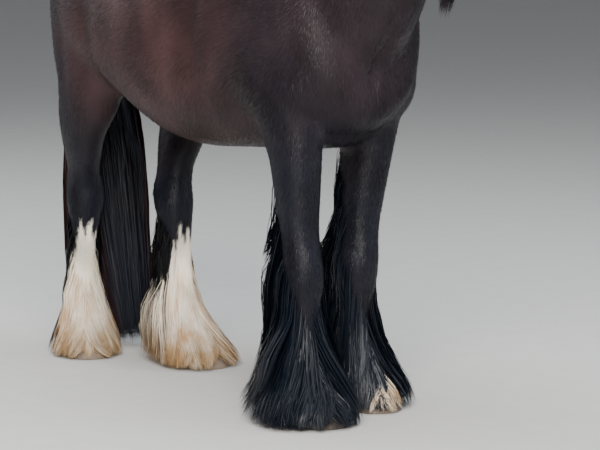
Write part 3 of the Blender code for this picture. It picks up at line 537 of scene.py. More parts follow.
@dataclass(frozen=True)
class Leg:
    """One leg: where its joints stand, to the left and forward, and how its feather spreads."""

    name: str
    fore: bool
    upper: tuple
    middle: tuple
    joint: tuple
    fetlock: tuple
    hoof: tuple
    toe_out: float
    spread: float
    # How much wider the feather spreads behind
    trail: float = 1.0
    # The share of the feather that grows behind the forearm
    fringe: float = 0.03
    # How high the white reaches behind
    white_back: float = 0.21
    fore_sizes: tuple = (
        (0.960, 0.040, 0.050, 0.060), (0.900, 0.075, 0.095, 0.110), (0.830, 0.080, 0.098, 0.112),
        (0.760, 0.072, 0.086, 0.102), (0.690, 0.065, 0.074, 0.090), (0.600, 0.058, 0.062, 0.078),
        (0.500, 0.051, 0.052, 0.062), (0.440, 0.052, 0.052, 0.052), (0.390, 0.056, 0.058, 0.050),
        (0.340, 0.052, 0.054, 0.050), (0.300, 0.042, 0.042, 0.050), (0.250, 0.037, 0.034, 0.050),
        (0.210, 0.037, 0.034, 0.050), (0.165, 0.047, 0.046, 0.060), (0.120, 0.042, 0.042, 0.043),
        (0.085, 0.058, 0.060, 0.052), (0.040, 0.060, 0.066, 0.054), (0.015, 0.060, 0.070, 0.054))
    hind_sizes: tuple = (
        (1.240, 0.030, 0.060, 0.060), (1.210, 0.085, 0.140, 0.130), (1.150, 0.115, 0.190, 0.180),
        (1.090, 0.125, 0.210, 0.205), (1.030, 0.122, 0.205, 0.200), (0.920, 0.105, 0.175, 0.165),
        (0.820, 0.085, 0.150, 0.125), (0.700, 0.064, 0.106, 0.090), (0.620, 0.054, 0.082, 0.076),
        (0.560, 0.048, 0.056, 0.070), (0.510, 0.052, 0.056, 0.074), (0.465, 0.056, 0.058, 0.066),
        (0.420, 0.050, 0.050, 0.058), (0.340, 0.041, 0.038, 0.052), (0.240, 0.038, 0.035, 0.051),
        (0.180, 0.048, 0.047, 0.061), (0.130, 0.043, 0.042, 0.044), (0.090, 0.058, 0.060, 0.052),
        (0.040, 0.060, 0.066, 0.054), (0.015, 0.060, 0.070, 0.054))
    fore_heights: tuple = (0.86, 0.69, 0.39, 0.165, 0.05)
    hind_heights: tuple = (1.20, 0.82, 0.67, 0.50, 0.180, 0.05)
    hip: tuple = (0.140, -0.990)
    # Height, then how far the feather spreads inward, outward, forward and back
    fore_feather: tuple = (
        (0.60, 0.060, 0.064, 0.066, 0.080), (0.52, 0.055, 0.062, 0.060, 0.086),
        (0.45, 0.058, 0.078, 0.060, 0.112), (0.38, 0.060, 0.084, 0.058, 0.150),
        (0.28, 0.056, 0.078, 0.050, 0.132), (0.19, 0.064, 0.096, 0.060, 0.122),
        (0.10, 0.080, 0.134, 0.090, 0.165), (0.03, 0.088, 0.176, 0.122, 0.222),
        (0.00, 0.090, 0.190, 0.129, 0.236))
    hind_feather: tuple = (
        (0.46, 0.056, 0.056, 0.058, 0.075), (0.36, 0.062, 0.047, 0.043, 0.105),
        (0.26, 0.080, 0.048, 0.043, 0.130), (0.16, 0.085, 0.058, 0.052, 0.135),
        (0.08, 0.095, 0.080, 0.072, 0.145), (0.03, 0.108, 0.105, 0.105, 0.155),
        (0.00, 0.120, 0.120, 0.130, 0.165))

    @property
    def sizes(self) -> tuple:
        """Height, half the width and the reach forward and back, down the leg."""
        return self.fore_sizes if self.fore else self.hind_sizes

    def line(self, height: Array) -> tuple[Array, Array]:
        """The middle of the leg at heights, to the left and forward."""
        places = [self.upper, self.middle, self.joint, self.fetlock, self.hoof]
        heights = self.fore_heights if self.fore else self.hind_heights
        if not self.fore:
            places.insert(0, (math.copysign(self.hip[0], self.upper[0]), self.hip[1]))
        across, forward = np.array(places).T
        return tuple(np.interp(height, heights[::-1], values[::-1]) for values in (across, forward))

    def centre(self, height: float) -> tuple[float, float]:
        """The middle of the leg at one height, to the left and forward."""
        across, forward = self.line(np.array(height))
        return float(across), float(forward)

    def bare(self, height: Array, angle: Array) -> Array:
        """How far the skin is from the leg's middle, in directions measured from its toe."""
        table = np.array(self.sizes[::-1])
        half_width, front, back = (np.interp(height, table[:, 0], table[:, i]) for i in (1, 2, 3))
        depth = np.where(np.cos(angle) > 0, front, back)
        reach = 1 / np.sqrt((np.sin(angle) / half_width) ** 2 + (np.cos(angle) / depth) ** 2)
        width, length, shift = hoof_outline(np.minimum(1.0, 1 - height / 0.085))
        a = (np.sin(angle) / width) ** 2 + (np.cos(angle) / length) ** 2
        b = -2 * shift * np.cos(angle) / length ** 2
        c = (shift / length) ** 2 - 1
        hoof = (-b + np.sqrt(np.maximum(b * b - 4 * a * c, 0.0))) / (2 * a)
        return np.where(height < 0.10, np.maximum(reach, hoof), reach)

    def full(self, height: Array, angle: Array) -> Array:
        """How far the feather spreads from the leg's middle."""
        table = np.array((self.fore_feather if self.fore else self.hind_feather)[::-1])
        inward, outward, front, back = (np.interp(height, table[:, 0], table[:, i]) for i in (1, 2, 3, 4))
        outer = (np.sin(angle) > 0) == (self.hoof[0] > 0)
        wide = np.where(outer, outward, inward)
        deep = np.where(np.cos(angle) > 0, front, back * self.trail)
        return self.spread / np.sqrt((np.sin(angle) / wide) ** 2 + (np.cos(angle) / deep) ** 2)

    def flesh(self) -> list[bmesh.types.BMesh]:
        """The leg's tube, with the back of the knee, or the point of the hock and the stifle."""
        rings = [Ring(*self.centre(height), height, *sizes) for height, *sizes in self.sizes]
        made = [tube(rings, sides=24, yaw=self.toe_out)]
        lumps = [(0.41, -0.042, (0.024, 0.022, 0.030))] if self.fore else [
            (0.545, -0.050, (0.021, 0.030, 0.045)), (0.88, 0.11, (0.070, 0.080, 0.110))]
        for height, ahead, radii in lumps:
            across, forward = self.centre(height)
            made.append(muscle(spot(across, forward + ahead, height), radii))
        return made


LEGS = (
    Leg("fore_right", True, (-0.145, -0.060), (-0.135, -0.028), (-0.136, 0.000),
        (-0.130, 0.024), (-0.130, 0.062), math.radians(-10), 1.20),
    Leg("fore_left", True, (0.147, -0.080), (0.122, -0.070), (0.084, -0.064),
        (0.088, -0.062), (0.090, -0.030), math.radians(10), 0.90, trail=1.2, fringe=0.18),
    Leg("hind_right", False, (-0.190, -1.013), (-0.183, -1.083), (-0.126, -1.154),
        (-0.134, -1.170), (-0.140, -1.138), math.radians(-16), 1.0),
    Leg("hind_left", False, (0.145, -0.920), (0.072, -0.936), (0.026, -0.908),
        (0.030, -0.865), (0.045, -0.808), math.radians(14), 1.15, trail=1.25, white_back=0.29),
)


def hoof_outline(share: Array) -> tuple[Array, Array, Array]:
    """Half a hoof's width and length and its forward shift, from its top at 0 to the floor at 1."""
    return 0.055 + 0.015 * share, 0.056 + 0.022 * share, 0.034 * share


@dataclass
class Body:
    """The horse's skin, grown from rings and muscles into one surface."""

    grain: float = 0.0090
    passes: int = 9
    torso: tuple = (
        Ring(0, -1.225, 1.16, 0.060, 0.070, 0.070), Ring(0, -1.195, 1.14, 0.174, 0.165, 0.150),
        Ring(0, -1.120, 1.09, 0.254, 0.260, 0.190), Ring(0, -1.000, 1.04, 0.294, 0.350, 0.200),
        Ring(0, -0.860, 1.00, 0.308, 0.402, 0.225), Ring(0, -0.720, 0.99, 0.320, 0.400, 0.275),
        Ring(0, -0.580, 0.98, 0.330, 0.385, 0.315), Ring(0, -0.440, 0.98, 0.320, 0.385, 0.310),
        Ring(0, -0.300, 0.98, 0.295, 0.405, 0.300), Ring(0, -0.160, 0.98, 0.260, 0.435, 0.285, 1.8),
        Ring(0, -0.060, 0.98, 0.240, 0.400, 0.285, 1.8), Ring(0, 0.030, 0.97, 0.205, 0.270, 0.262),
        Ring(0, 0.090, 0.96, 0.172, 0.215, 0.205), Ring(0, 0.130, 0.96, 0.122, 0.160, 0.140))
    neck: tuple = (
        Ring(0, -0.200, 1.04, 0.150, 0.270, 0.220), Ring(0, -0.080, 1.12, 0.170, 0.290, 0.290),
        Ring(0, 0.040, 1.21, 0.158, 0.260, 0.275), Ring(0, 0.150, 1.32, 0.136, 0.245, 0.230),
        Ring(0, 0.260, 1.43, 0.108, 0.220, 0.185), Ring(0, 0.360, 1.51, 0.087, 0.180, 0.140),
        Ring(0, 0.450, 1.560, 0.075, 0.140, 0.100))
    head: tuple = (
        head_ring(-0.030, 0.035, 0.030, 0.030), head_ring(0.000, 0.062, 0.045, 0.080),
        head_ring(0.050, 0.078, 0.058, 0.130), head_ring(0.110, 0.090, 0.068, 0.165),
        head_ring(0.180, 0.092, 0.074, 0.182), head_ring(0.240, 0.084, 0.074, 0.172),
        head_ring(0.310, 0.066, 0.070, 0.140), head_ring(0.380, 0.053, 0.063, 0.106),
        head_ring(0.450, 0.047, 0.058, 0.088), head_ring(0.510, 0.049, 0.056, 0.082),
        head_ring(0.550, 0.047, 0.048, 0.070), head_ring(0.575, 0.034, 0.030, 0.048),
        head_ring(HEAD_LENGTH, 0.015, 0.012, 0.018))
    # Across, forward, height, radii and slope of each muscle of one side
    masses: tuple = (
        (0.150, -0.08, 1.10, (0.080, 0.13, 0.24), -24), (0.120, 0.008, 0.965, (0.078, 0.090, 0.16), 0),
        (0.175, -0.13, 0.93, (0.070, 0.13, 0.15), 0), (0.145, -0.03, 0.88, (0.075, 0.11, 0.12), 0),
        (0.065, 0.030, 0.93, (0.085, 0.09, 0.18), 0), (0.120, -1.06, 1.06, (0.115, 0.13, 0.20), 0))
    # Along the head, dorsal, across and radii of each mass of one side of the face
    features: tuple = (
        (0.180, 0.030, 0.074, (0.030, 0.034, 0.038)), (0.195, -0.090, 0.056, (0.036, 0.082, 0.090)),
        (0.285, -0.012, 0.056, (0.013, 0.013, 0.065)), (0.520, 0.020, 0.036, (0.021, 0.028, 0.038)))
    lips: tuple = (
        (0.562, -0.006, 0.0, (0.038, 0.032, 0.022)), (0.545, -0.060, 0.0, (0.032, 0.026, 0.028)))
    # Height, reach up and down, and rise of the cap of the knee and of the dips below and above it
    knee: tuple = ((0.425, 0.040, 0.007), (0.340, 0.022, -0.006), (0.520, 0.035, -0.004))

    def parts(self) -> list[bmesh.types.BMesh]:
        """Every tube and muscle that the skin is grown from."""
        made = [tube(self.torso, sides=40), tube(self.neck), tube(self.head, sides=40)]
        for side in (-1, 1):
            for across, forward, height, radii, slope in self.masses:
                made.append(muscle(spot(side * across, forward, height), radii, math.radians(slope)))
            for along, dorsal, across, radii in self.features:
                made.append(muscle(on_head(along, dorsal, side * across), radii, HEAD_TILT))
            made.append(muscle(eye_centre(side), (EYE_RADIUS + 0.0055,) * 3))
        for along, dorsal, across, radii in self.lips:
            made.append(muscle(on_head(along, dorsal, across), radii, HEAD_TILT))
        for leg in LEGS:
            made += leg.flesh()
        return made

    def grown(self) -> bpy.types.Object:
        """The parts fused into one smooth surface, rounder above the legs."""
        whole = joined("skin", self.parts())
        remesh = whole.modifiers.new("fuse", "REMESH")
        remesh.mode = "VOXEL"
        remesh.voxel_size = self.grain
        smooth = whole.modifiers.new("smooth", "SMOOTH")
        smooth.factor = 0.5
        smooth.iterations = self.passes
        whole = evaluated(whole, "skin")
        height = positions(whole)
        share = np.clip((height[:, 2] - 0.72) / 0.20, 0.0, 1.0) * (height[:, 1] > -0.36)
        group = whole.vertex_groups.new(name="above")
        for level in range(1, 11):
            chosen = np.nonzero(np.round(share * 10) == level)[0]
            group.add(chosen.tolist(), level / 10, "REPLACE")
        ease = whole.modifiers.new("ease", "SMOOTH")
        ease.vertex_group = group.name
        ease.factor = 0.5
        ease.iterations = 60
        return evaluated(whole, "skin")

    def refined(self, whole: bpy.types.Object) -> bpy.types.Object:
        """The surface with finer faces on the head, and finest round the eyes, nostrils and mouth."""
        work = bmesh.new()
        work.from_mesh(whole.data)
        fine = [on_head(0.30, -0.02)]
        spots = [eye_centre(-1), eye_centre(1), on_head(0.540, -0.01)]
        for reach, centres in ((0.33, fine), (0.050, spots), (0.034, spots[:2])):
            near = [e for e in work.edges
                    if min((e.verts[0].co - c).length for c in centres) < reach
                    and min((e.verts[1].co - c).length for c in centres) < reach]
            bmesh.ops.subdivide_edges(work, edges=near, cuts=1, use_grid_fill=True)
        bmesh.ops.triangulate(work, faces=[f for f in work.faces if len(f.verts) > 4])
        work.to_mesh(whole.data)
        work.free()
        soft = whole.modifiers.new("soft", "SMOOTH")
        soft.factor = 0.5
        soft.iterations = 2
        return evaluated(whole, "skin")

    def swells(self) -> list[Swell]:
        """The bones, sinews, folds and hollows that show through the coat."""
        made = []
        for side in (-1, 1):
            made += [
                Swell((side * 0.27, -0.30, 1.02), (0.10, 0.035, 0.20), -0.010),
                Swell((side * 0.22, -0.20, 0.80), (0.10, 0.030, 0.08), -0.010),
                Swell((side * 0.20, -0.02, 1.18), (0.08, 0.028, 0.15), 0.006),
                Swell((side * 0.24, 0.00, 1.02), (0.09, 0.035, 0.035), 0.008),
                Swell((side * 0.30, -0.84, 0.98), (0.10, 0.05, 0.12), -0.012),
                Swell((side * 0.25, -0.87, 1.22), (0.06, 0.05, 0.04), 0.010),
                Swell((side * 0.25, -1.02, 0.90), (0.10, 0.03, 0.14), -0.006),
                Swell((side * 0.23, -0.10, 0.84), (0.06, 0.04, 0.05), 0.006),
            ]
            for place, radii, height in (
                    (on_head(0.235, -0.030, side * 0.085), (0.04, 0.020, 0.035), -0.004),
                    (on_head(0.120, 0.045, side * 0.070), (0.03, 0.020, 0.020), -0.005),
                    (on_head(0.400, 0.000, side * 0.055), (0.03, 0.030, 0.060), -0.004),
                    (on_head(0.500, -0.030, side * 0.050), (0.02, 0.010, 0.030), 0.002)):
                made.append(Swell((place.x, -place.y, place.z), radii, height))
        made.append(Swell((0.0, 0.14, 0.98), (0.014, 0.10, 0.12), -0.014))
        made.append(Swell((0.0, -0.86, 1.40), (0.03, 0.2, 0.1), -0.004))
        for leg in LEGS:
            for height, tall, rise in self.knee if leg.fore else ():
                across, forward = leg.centre(height)
                made.append(Swell((across, forward + 0.052, height), (0.034, 0.030, tall), rise))
            # The hollows in front of the sinews, on both sides of the leg
            for height in (0.30, 0.22) if leg.fore else (0.36, 0.27):
                across, forward = leg.centre(height)
                made += [Swell((across + side * 0.038, forward - 0.012, height), (0.02, 0.010, 0.05), -0.006)
                         for side in (-1, 1)]
        return made

    def carved(self, skin: bpy.types.Object) -> None:
        """Moves the skin for its swells, opens the lids and nostrils, and draws the mouth."""
        points, out = positions(skin), normals(skin)
        lift = sum(swell.over(points) for swell in self.swells())
        points = points + out * lift[:, None]
        for side in (-1, 1):
            points = self.opened_eye(points, side)
            points = self.opened_nostril(points, side)
        points, groove = self.mouthed(points, out)
        naked = np.clip(groove / 0.002, 0.0, 1.0)
        for side in (-1, 1):
            for centre, reach in ((on_face(NOSTRIL_PLACE, side), 0.019), (eye_centre(side), 0.031)):
                away = np.linalg.norm(points - np.array(centre), axis=1)
                naked = np.maximum(naked, np.clip((reach - away) / 0.006, 0.0, 1.0))
        mark(skin, "naked", naked)
        move_to(skin, turned(points))

    def opened_eye(self, points: Array, side: int) -> Array:
        """Draws the skin inside the lids back behind the eyeball."""
        centre = np.array(eye_centre(side))
        away = points - centre
        gaze, level, upright = (np.array(way) for way in eye_frame(side))
        ahead = away @ gaze
        wide = (away @ level) / 0.0185
        tall = (away @ upright) / 0.0125
        opening = np.clip((1.12 - np.sqrt(wide ** 2 + tall ** 2)) / 0.14, 0.0, 1.0) * (ahead > 0)
        near = np.linalg.norm(away, axis=1) < 0.05
        depth = np.linalg.norm(away, axis=1, keepdims=True)
        inner = centre + away / np.maximum(depth, 1e-6) * (EYE_RADIUS - 0.006)
        return np.where(near[:, None], points + (inner - points) * opening[:, None], points)

    def opened_nostril(self, points: Array, side: int) -> Array:
        """Sinks one nostril and raises its rim."""
        centre = np.array(on_face(NOSTRIL_PLACE, side))
        away = points - centre
        out = units(np.array([side * 0.80, -0.60, 0.05]))
        tilt = HEAD_TILT + 0.55
        down = np.array([0.0, math.sin(tilt), -math.cos(tilt)])
        down = units(down - out * (down @ out))
        flat = np.cross(out, down)
        tall = (away @ down) / 0.0175
        wide = (away @ flat) / (0.0090 - 0.002 * np.clip(tall, -1, 1))
        reach = np.sqrt(wide ** 2 + tall ** 2)
        near = np.linalg.norm(away, axis=1) < 0.055
        sink = np.clip((1.05 - reach) / 0.5, 0.0, 1.0) * 0.018 * near
        rim = np.exp(-((reach - 1.25) / 0.28) ** 2) * 0.0022 * near
        return points + out * (rim - sink)[:, None]

    def mouthed(self, points: Array, out: Array) -> tuple[Array, Array]:
        """Presses in the line between the lips, up to the corners of the mouth, and says how deep it is."""
        start, end = np.array(on_head(0.592, -0.036)), np.array(on_head(0.468, -0.046))
        way = end - start
        place = (points - start) @ way / (way @ way)
        share = np.clip(place, 0.0, 1.0)
        axis = units(np.cross(way, np.array([1.0, 0, 0])))
        off = (points - start - share[:, None] * way) @ axis
        reach = np.where((place < 1.0) & (np.abs(points[:, 0]) < 0.09), np.abs(off), 1.0)
        groove = 0.0080 * np.exp(-(reach / 0.0038) ** 2) * (1 - 0.5 * share)
        lips = 0.0024 * np.exp(-((reach - 0.012) / 0.006) ** 2) * (1 - 0.7 * share)
        return points + out * (lips - groove)[:, None], groove

    def build(self) -> bpy.types.Object:
        """The finished skin before it is dressed, still at the horse's own place."""
        skin = self.refined(self.grown())
        self.carved(skin)
        move_to(skin, positions(skin) - normals(skin) * COAT_DEPTH)
        return skin


# Hair

def ribbons(name: str, paths: Array, outs: Array, widths: Array, tones: Array) -> bpy.types.Object:
    """Thin flat strands, each along its own path to a pointed tip.

    Args:
        name: The name of the object.
        paths: The points of every strand, as strand by point by coordinate.
        outs: The way that each strand's flat side faces at each point.
        widths: Half of each strand's width at each point but its tip.
        tones: A number for each strand that varies its colour.

    Returns:
        The strands as one object, which remembers each strand's root and how far along it a point is.
    """
    count, steps, _ = paths.shape
    ahead = np.gradient(paths, axis=1)
    across = units(np.cross(ahead, outs))[:, :-1] * widths[:, :, None]
    points = np.concatenate([paths[:, :-1] - across, paths[:, :-1] + across, paths[:, -1:]], axis=1)
    size = 2 * steps - 1
    rows = steps - 1
    faces = []
    for i in range(rows - 1):
        faces += [(i, rows + i, rows + i + 1), (i, rows + i + 1, i + 1)]
    faces.append((rows - 1, 2 * rows - 1, 2 * rows))
    all_faces = (np.array(faces)[None] + (np.arange(count) * size)[:, None, None]).reshape(-1, 3)
    made = from_arrays(name, points.reshape(-1, 3), all_faces)
    share = np.linspace(0.0, 1.0, steps)
    along = np.concatenate([share[:-1], share[:-1], [1.0]])
    beside = np.concatenate([np.zeros(rows), np.ones(rows), [0.5]])
    mark(made, "along", np.tile(along, count))
    mark(made, "beside", np.tile(beside, count))
    mark(made, "root", np.repeat(paths[:, 0], size, axis=0))
    mark(made, "tone", np.repeat(tones, size))
    return made


def strand_looks(draw: np.random.Generator, width: float, clumps: int, many: int, part: Array,
                 thin: tuple = (0.6, 0.35), clump_tone: float = 0.13) -> tuple[Array, Array]:
    """How wide each strand is along its length, and its tone.

    Args:
        draw: The draws.
        width: Half a strand's common width.
        clumps: How many clumps there are.
        many: How many strands each clump has.
        part: How far along the strand each of its points is.
        thin: From where a strand thins, and how thin its last full point is.
        clump_tone: How much the tone varies from clump to clump.

    Returns:
        The widths, strand by point, and a tone for each strand.
    """
    count = clumps * many
    taper = np.interp(part[:-1], [0, 0.15, thin[0], 1.0], [0.7, 1.0, 0.9, thin[1]])
    widths = width * draw.uniform(0.7, 1.3, (count, 1)) * taper
    tones = 0.5 + clump_tone * np.repeat(draw.normal(0, 1, clumps), many)
    return widths, tones + 0.08 * draw.normal(0, 1, count)


def as_arrays(paths: Sequence) -> Array:
    """Paths of points as one array, path by point by coordinate."""
    return np.array([[list(point) for point in path] for path in paths])


def turned_paths(paths: Sequence, shift: Vector) -> Array:
    """Paths after the neck has turned, in the model's frame."""
    found = as_arrays(paths)
    return turned(found.reshape(-1, 3)).reshape(found.shape) + np.array(shift)


def mapped(target: bpy.types.Object, wrap: Callable[[Array], Array]) -> None:
    """Gives a coat piece its map: a small patch for each tuft, at its root's place on the skin laid flat."""
    root = marked(target, "root", vector=True)
    patch = np.column_stack([marked(target, "beside"), marked(target, "along")]) * PATCH
    flat = np.clip(wrap(root), 0.0, 1.0) * (1 - 2 * PATCH) + PATCH / 2 + patch
    corners = np.empty(len(target.data.loops), np.int32)
    target.data.loops.foreach_get("vertex_index", corners)
    layer = target.data.uv_layers.new(name="OFBake")
    layer.data.foreach_set("uv", np.ascontiguousarray(flat[corners], np.float32).ravel())


def wrapped(axis: Sequence[Vector]) -> Callable[[Array], Array]:
    """The skin round a straight axis laid flat: the turn about it, and the distance along it.

    Args:
        axis: The two ends of the axis.

    Returns:
        A function from roots to places in the map.
    """
    start, end = (np.array(p) for p in axis)
    way = end - start
    length = np.linalg.norm(way)
    way = way / length
    side = units(np.cross(way, np.array([1.0, 0.3, 0.2])))
    up = np.cross(side, way)

    def flat(root: Array) -> Array:
        """Places in the map for roots."""
        away = root - start
        turn = np.arctan2(away @ side, away @ up) / (2 * math.pi) + 0.5
        return np.column_stack([turn, (away @ way) / length])

    return flat


def white_edge(angle: Array, behind: float) -> Array:
    """How high the white of a hind leg reaches, in directions measured from its toe."""
    front = np.clip((np.cos(angle) + 0.35) / 1.25, 0.0, 1.0)
    jagged = 0.018 * np.sin(9 * angle) + 0.012 * np.sin(23 * angle + 1.3)
    return behind + (0.385 - behind) * front ** 1.2 + jagged


class Markings:
    """Where the coat is white, stained, soiled, warm brown or silver, for skin and hair alike."""

    def __init__(self, shift: Vector) -> None:
        """Keeps how far the model's frame is from the horse's own place."""
        self.shift = np.array(shift)

    def nearest_leg(self, points: Array) -> Array:
        """The number of the leg nearest to each point."""
        far = []
        for leg in LEGS:
            across, forward = leg.line(points[:, 2])
            far.append(np.hypot(points[:, 0] - across, points[:, 1] + forward))
        return np.argmin(np.array(far), axis=0)

    def angle(self, points: Array, leg: Leg) -> Array:
        """The direction of each point from a leg's middle, measured from its toe."""
        across, forward = leg.line(points[:, 2])
        return np.arctan2(points[:, 0] - across, -(points[:, 1] + forward)) - leg.toe_out

    def paint(self, target: bpy.types.Object, roots: Array) -> None:
        """Stores every marking on a piece, from the roots of its hair or the points of its skin."""
        points = roots - self.shift
        near = self.nearest_leg(points)
        height = points[:, 2]
        low = positions(target)[:, 2]
        angle = np.choose(near, [self.angle(points, leg) for leg in LEGS])
        hind = (near >= 2) & (height < 0.60)
        behind = np.choose(near, [leg.white_back for leg in LEGS])
        white = np.where(hind, np.clip((white_edge(angle, behind) - height) / 0.012, 0.0, 1.0), 0.0)
        toe = (near == 1) & (np.abs(np.angle(np.exp(1j * (angle + 0.10)))) < 0.34)
        streak = np.sin(37 * angle) + np.sin(61 * angle + 2.0) > 0.55
        white = np.where(toe & (height < 0.118), 1.0, white)
        aside = np.abs(np.sin(angle - 0.25)) ** 1.5
        stain = np.clip((0.33 - height) / 0.14, 0.0, 1.0) * (0.42 + 0.58 * aside)
        soil = np.clip((0.130 - low) / 0.080, 0.0, 1.0) * (0.80 + 0.2 * np.sin(7 * angle))
        flank = np.exp(-((height - 0.92) / 0.26) ** 2) * np.clip((points[:, 1] - 0.08) / 0.35, 0.0, 1.0)
        flank = flank * np.clip((1.08 - points[:, 1]) / 0.30, 0.12, 1.0)
        warm = np.where(height > 0.55, 0.95 * flank + 0.30 * np.exp(-((height - 1.05) / 0.30) ** 2), 0.0)
        silver = np.where(toe & streak, 0.55 * np.clip((0.26 - height) / 0.10, 0.0, 1.0), 0.0)
        stain = np.where(near == 1, 0.2, 1.0) * stain
        for name, values in (("white", white), ("stain", stain), ("soil", soil), ("warm", warm),
                             ("silver", silver)):
            if name not in target.data.attributes:
                mark(target, name, values)


@dataclass
class Feather:
    """The long hair of one lower leg, from behind the knee or hock down over the hoof."""

    leg: Leg
    clumps: int
    strands: int
    steps: int = 7
    width: float = 0.0012
    seed: int = 11

    def build(self, shift: Vector) -> bpy.types.Object:
        """The leg's feather as one piece, already in the model's frame."""
        draw = np.random.default_rng(self.seed)
        leg, n = self.leg, self.clumps
        root = 0.092 + ((np.arange(n) * 0.7549) % 1.0) ** 1.5 * (0.410 if leg.fore else 0.325)
        arcs = [3.14, 3.0, 2.5, 1.9, 0.95] if leg.fore else [3.14, 3.0, 2.1, 1.6, 0.95]
        around = 2 * ((np.arange(n) * 0.5698 + draw.uniform(-0.01, 0.01, n)) % 1.0) - 1
        bearing = math.pi + np.interp(root, [0.12, 0.17, 0.25, 0.34, 0.44], arcs) * around
        length = draw.uniform(0.20, 0.34, n) * np.interp(root, [0.1, 0.2, 0.43], [0.8, 1.0, 1.15])
        tip = np.maximum(root - length, 0.005 + 0.04 * draw.random(n) ** 4)
        share = np.interp(root, [0.10, 0.2, 0.33], [0.60, 0.85, 1.0])
        share = share * draw.uniform(0.30, 1.0, n) ** 0.6
        if leg.fore:
            fringe = draw.random(n) < leg.fringe
            root = np.where(fringe, draw.uniform(0.46, 0.62, n), root)
            bearing = np.where(fringe, math.pi + draw.uniform(-0.45, 0.45, n), bearing)
            tip = np.where(fringe, root - draw.uniform(0.10, 0.20, n), tip)
            share = np.where(fringe, draw.uniform(0.3, 0.9, n), share)
        dark = (root > white_edge(bearing, leg.white_back)) & (not leg.fore)
        tip = np.where(dark, np.maximum(root - draw.uniform(0.10, 0.17, n), 0.08), tip)
        share = np.where(dark, 0.35 * share, share)
        sweep = (math.pi - bearing) * draw.uniform(0.0, 0.16, n)
        many = self.strands
        spread = draw.normal(0, 1, (n, many, 3))
        part = np.linspace(0, 1, self.steps)[None, None, :]

        def each(values: Array) -> Array:
            """A clump's value for each of its strands."""
            return np.repeat(values[:, None], many, axis=1)[:, :, None]

        loose = np.where(root > 0.45, 0.030, 0.012)
        roots = each(root) + spread[:, :, :1] * each(loose)
        tips = each(tip) + spread[:, :, 1:2] * 0.010 + np.abs(spread[:, :, 2:3]) * each(loose)
        tips = np.minimum(np.maximum(tips, 0.004), roots - 0.03)
        height = roots + (tips - roots) * part
        turn = each(bearing) + spread[:, :, 1:2] * (0.20 * (1 - part) + 0.10) + each(sweep) * part
        bare = leg.bare(height, turn)
        full = np.maximum(leg.full(height, turn), bare + 0.014)
        ramp = np.minimum(1.0, 1.7 * part)
        layer = np.clip(each(share) + spread[:, :, 2:3] * 0.06, 0.02, 1.06)
        reach = bare + 0.003 + (full - bare) * layer * ramp
        phase = each(draw.uniform(0, 6.28, n))
        reach = reach + 0.0035 * np.sin(phase + part * 9.0) * part
        turn = turn + 0.030 * np.sin(phase * 1.7 + part * 11.0) * part
        reach = np.where(part == 0, bare - 0.004, reach)
        across, forward = leg.line(height)
        heading = turn + leg.toe_out
        aside, ahead = np.sin(heading) * reach, np.cos(heading) * reach
        paths = np.stack([across + aside, -(forward + ahead), height], axis=-1)
        outs = np.stack([np.sin(heading), -np.cos(heading), np.full_like(heading, 0.35)], axis=-1)
        outs = units(outs + draw.normal(0, 0.30, (n, many, 1, 3)))
        count = n * many
        paths = paths.reshape(count, self.steps, 3) + np.array(shift)
        widths, tones = strand_looks(draw, self.width, n, many, part[0, 0])
        return ribbons("feather_" + leg.name, paths, outs.reshape(count, self.steps, 3), widths, tones)


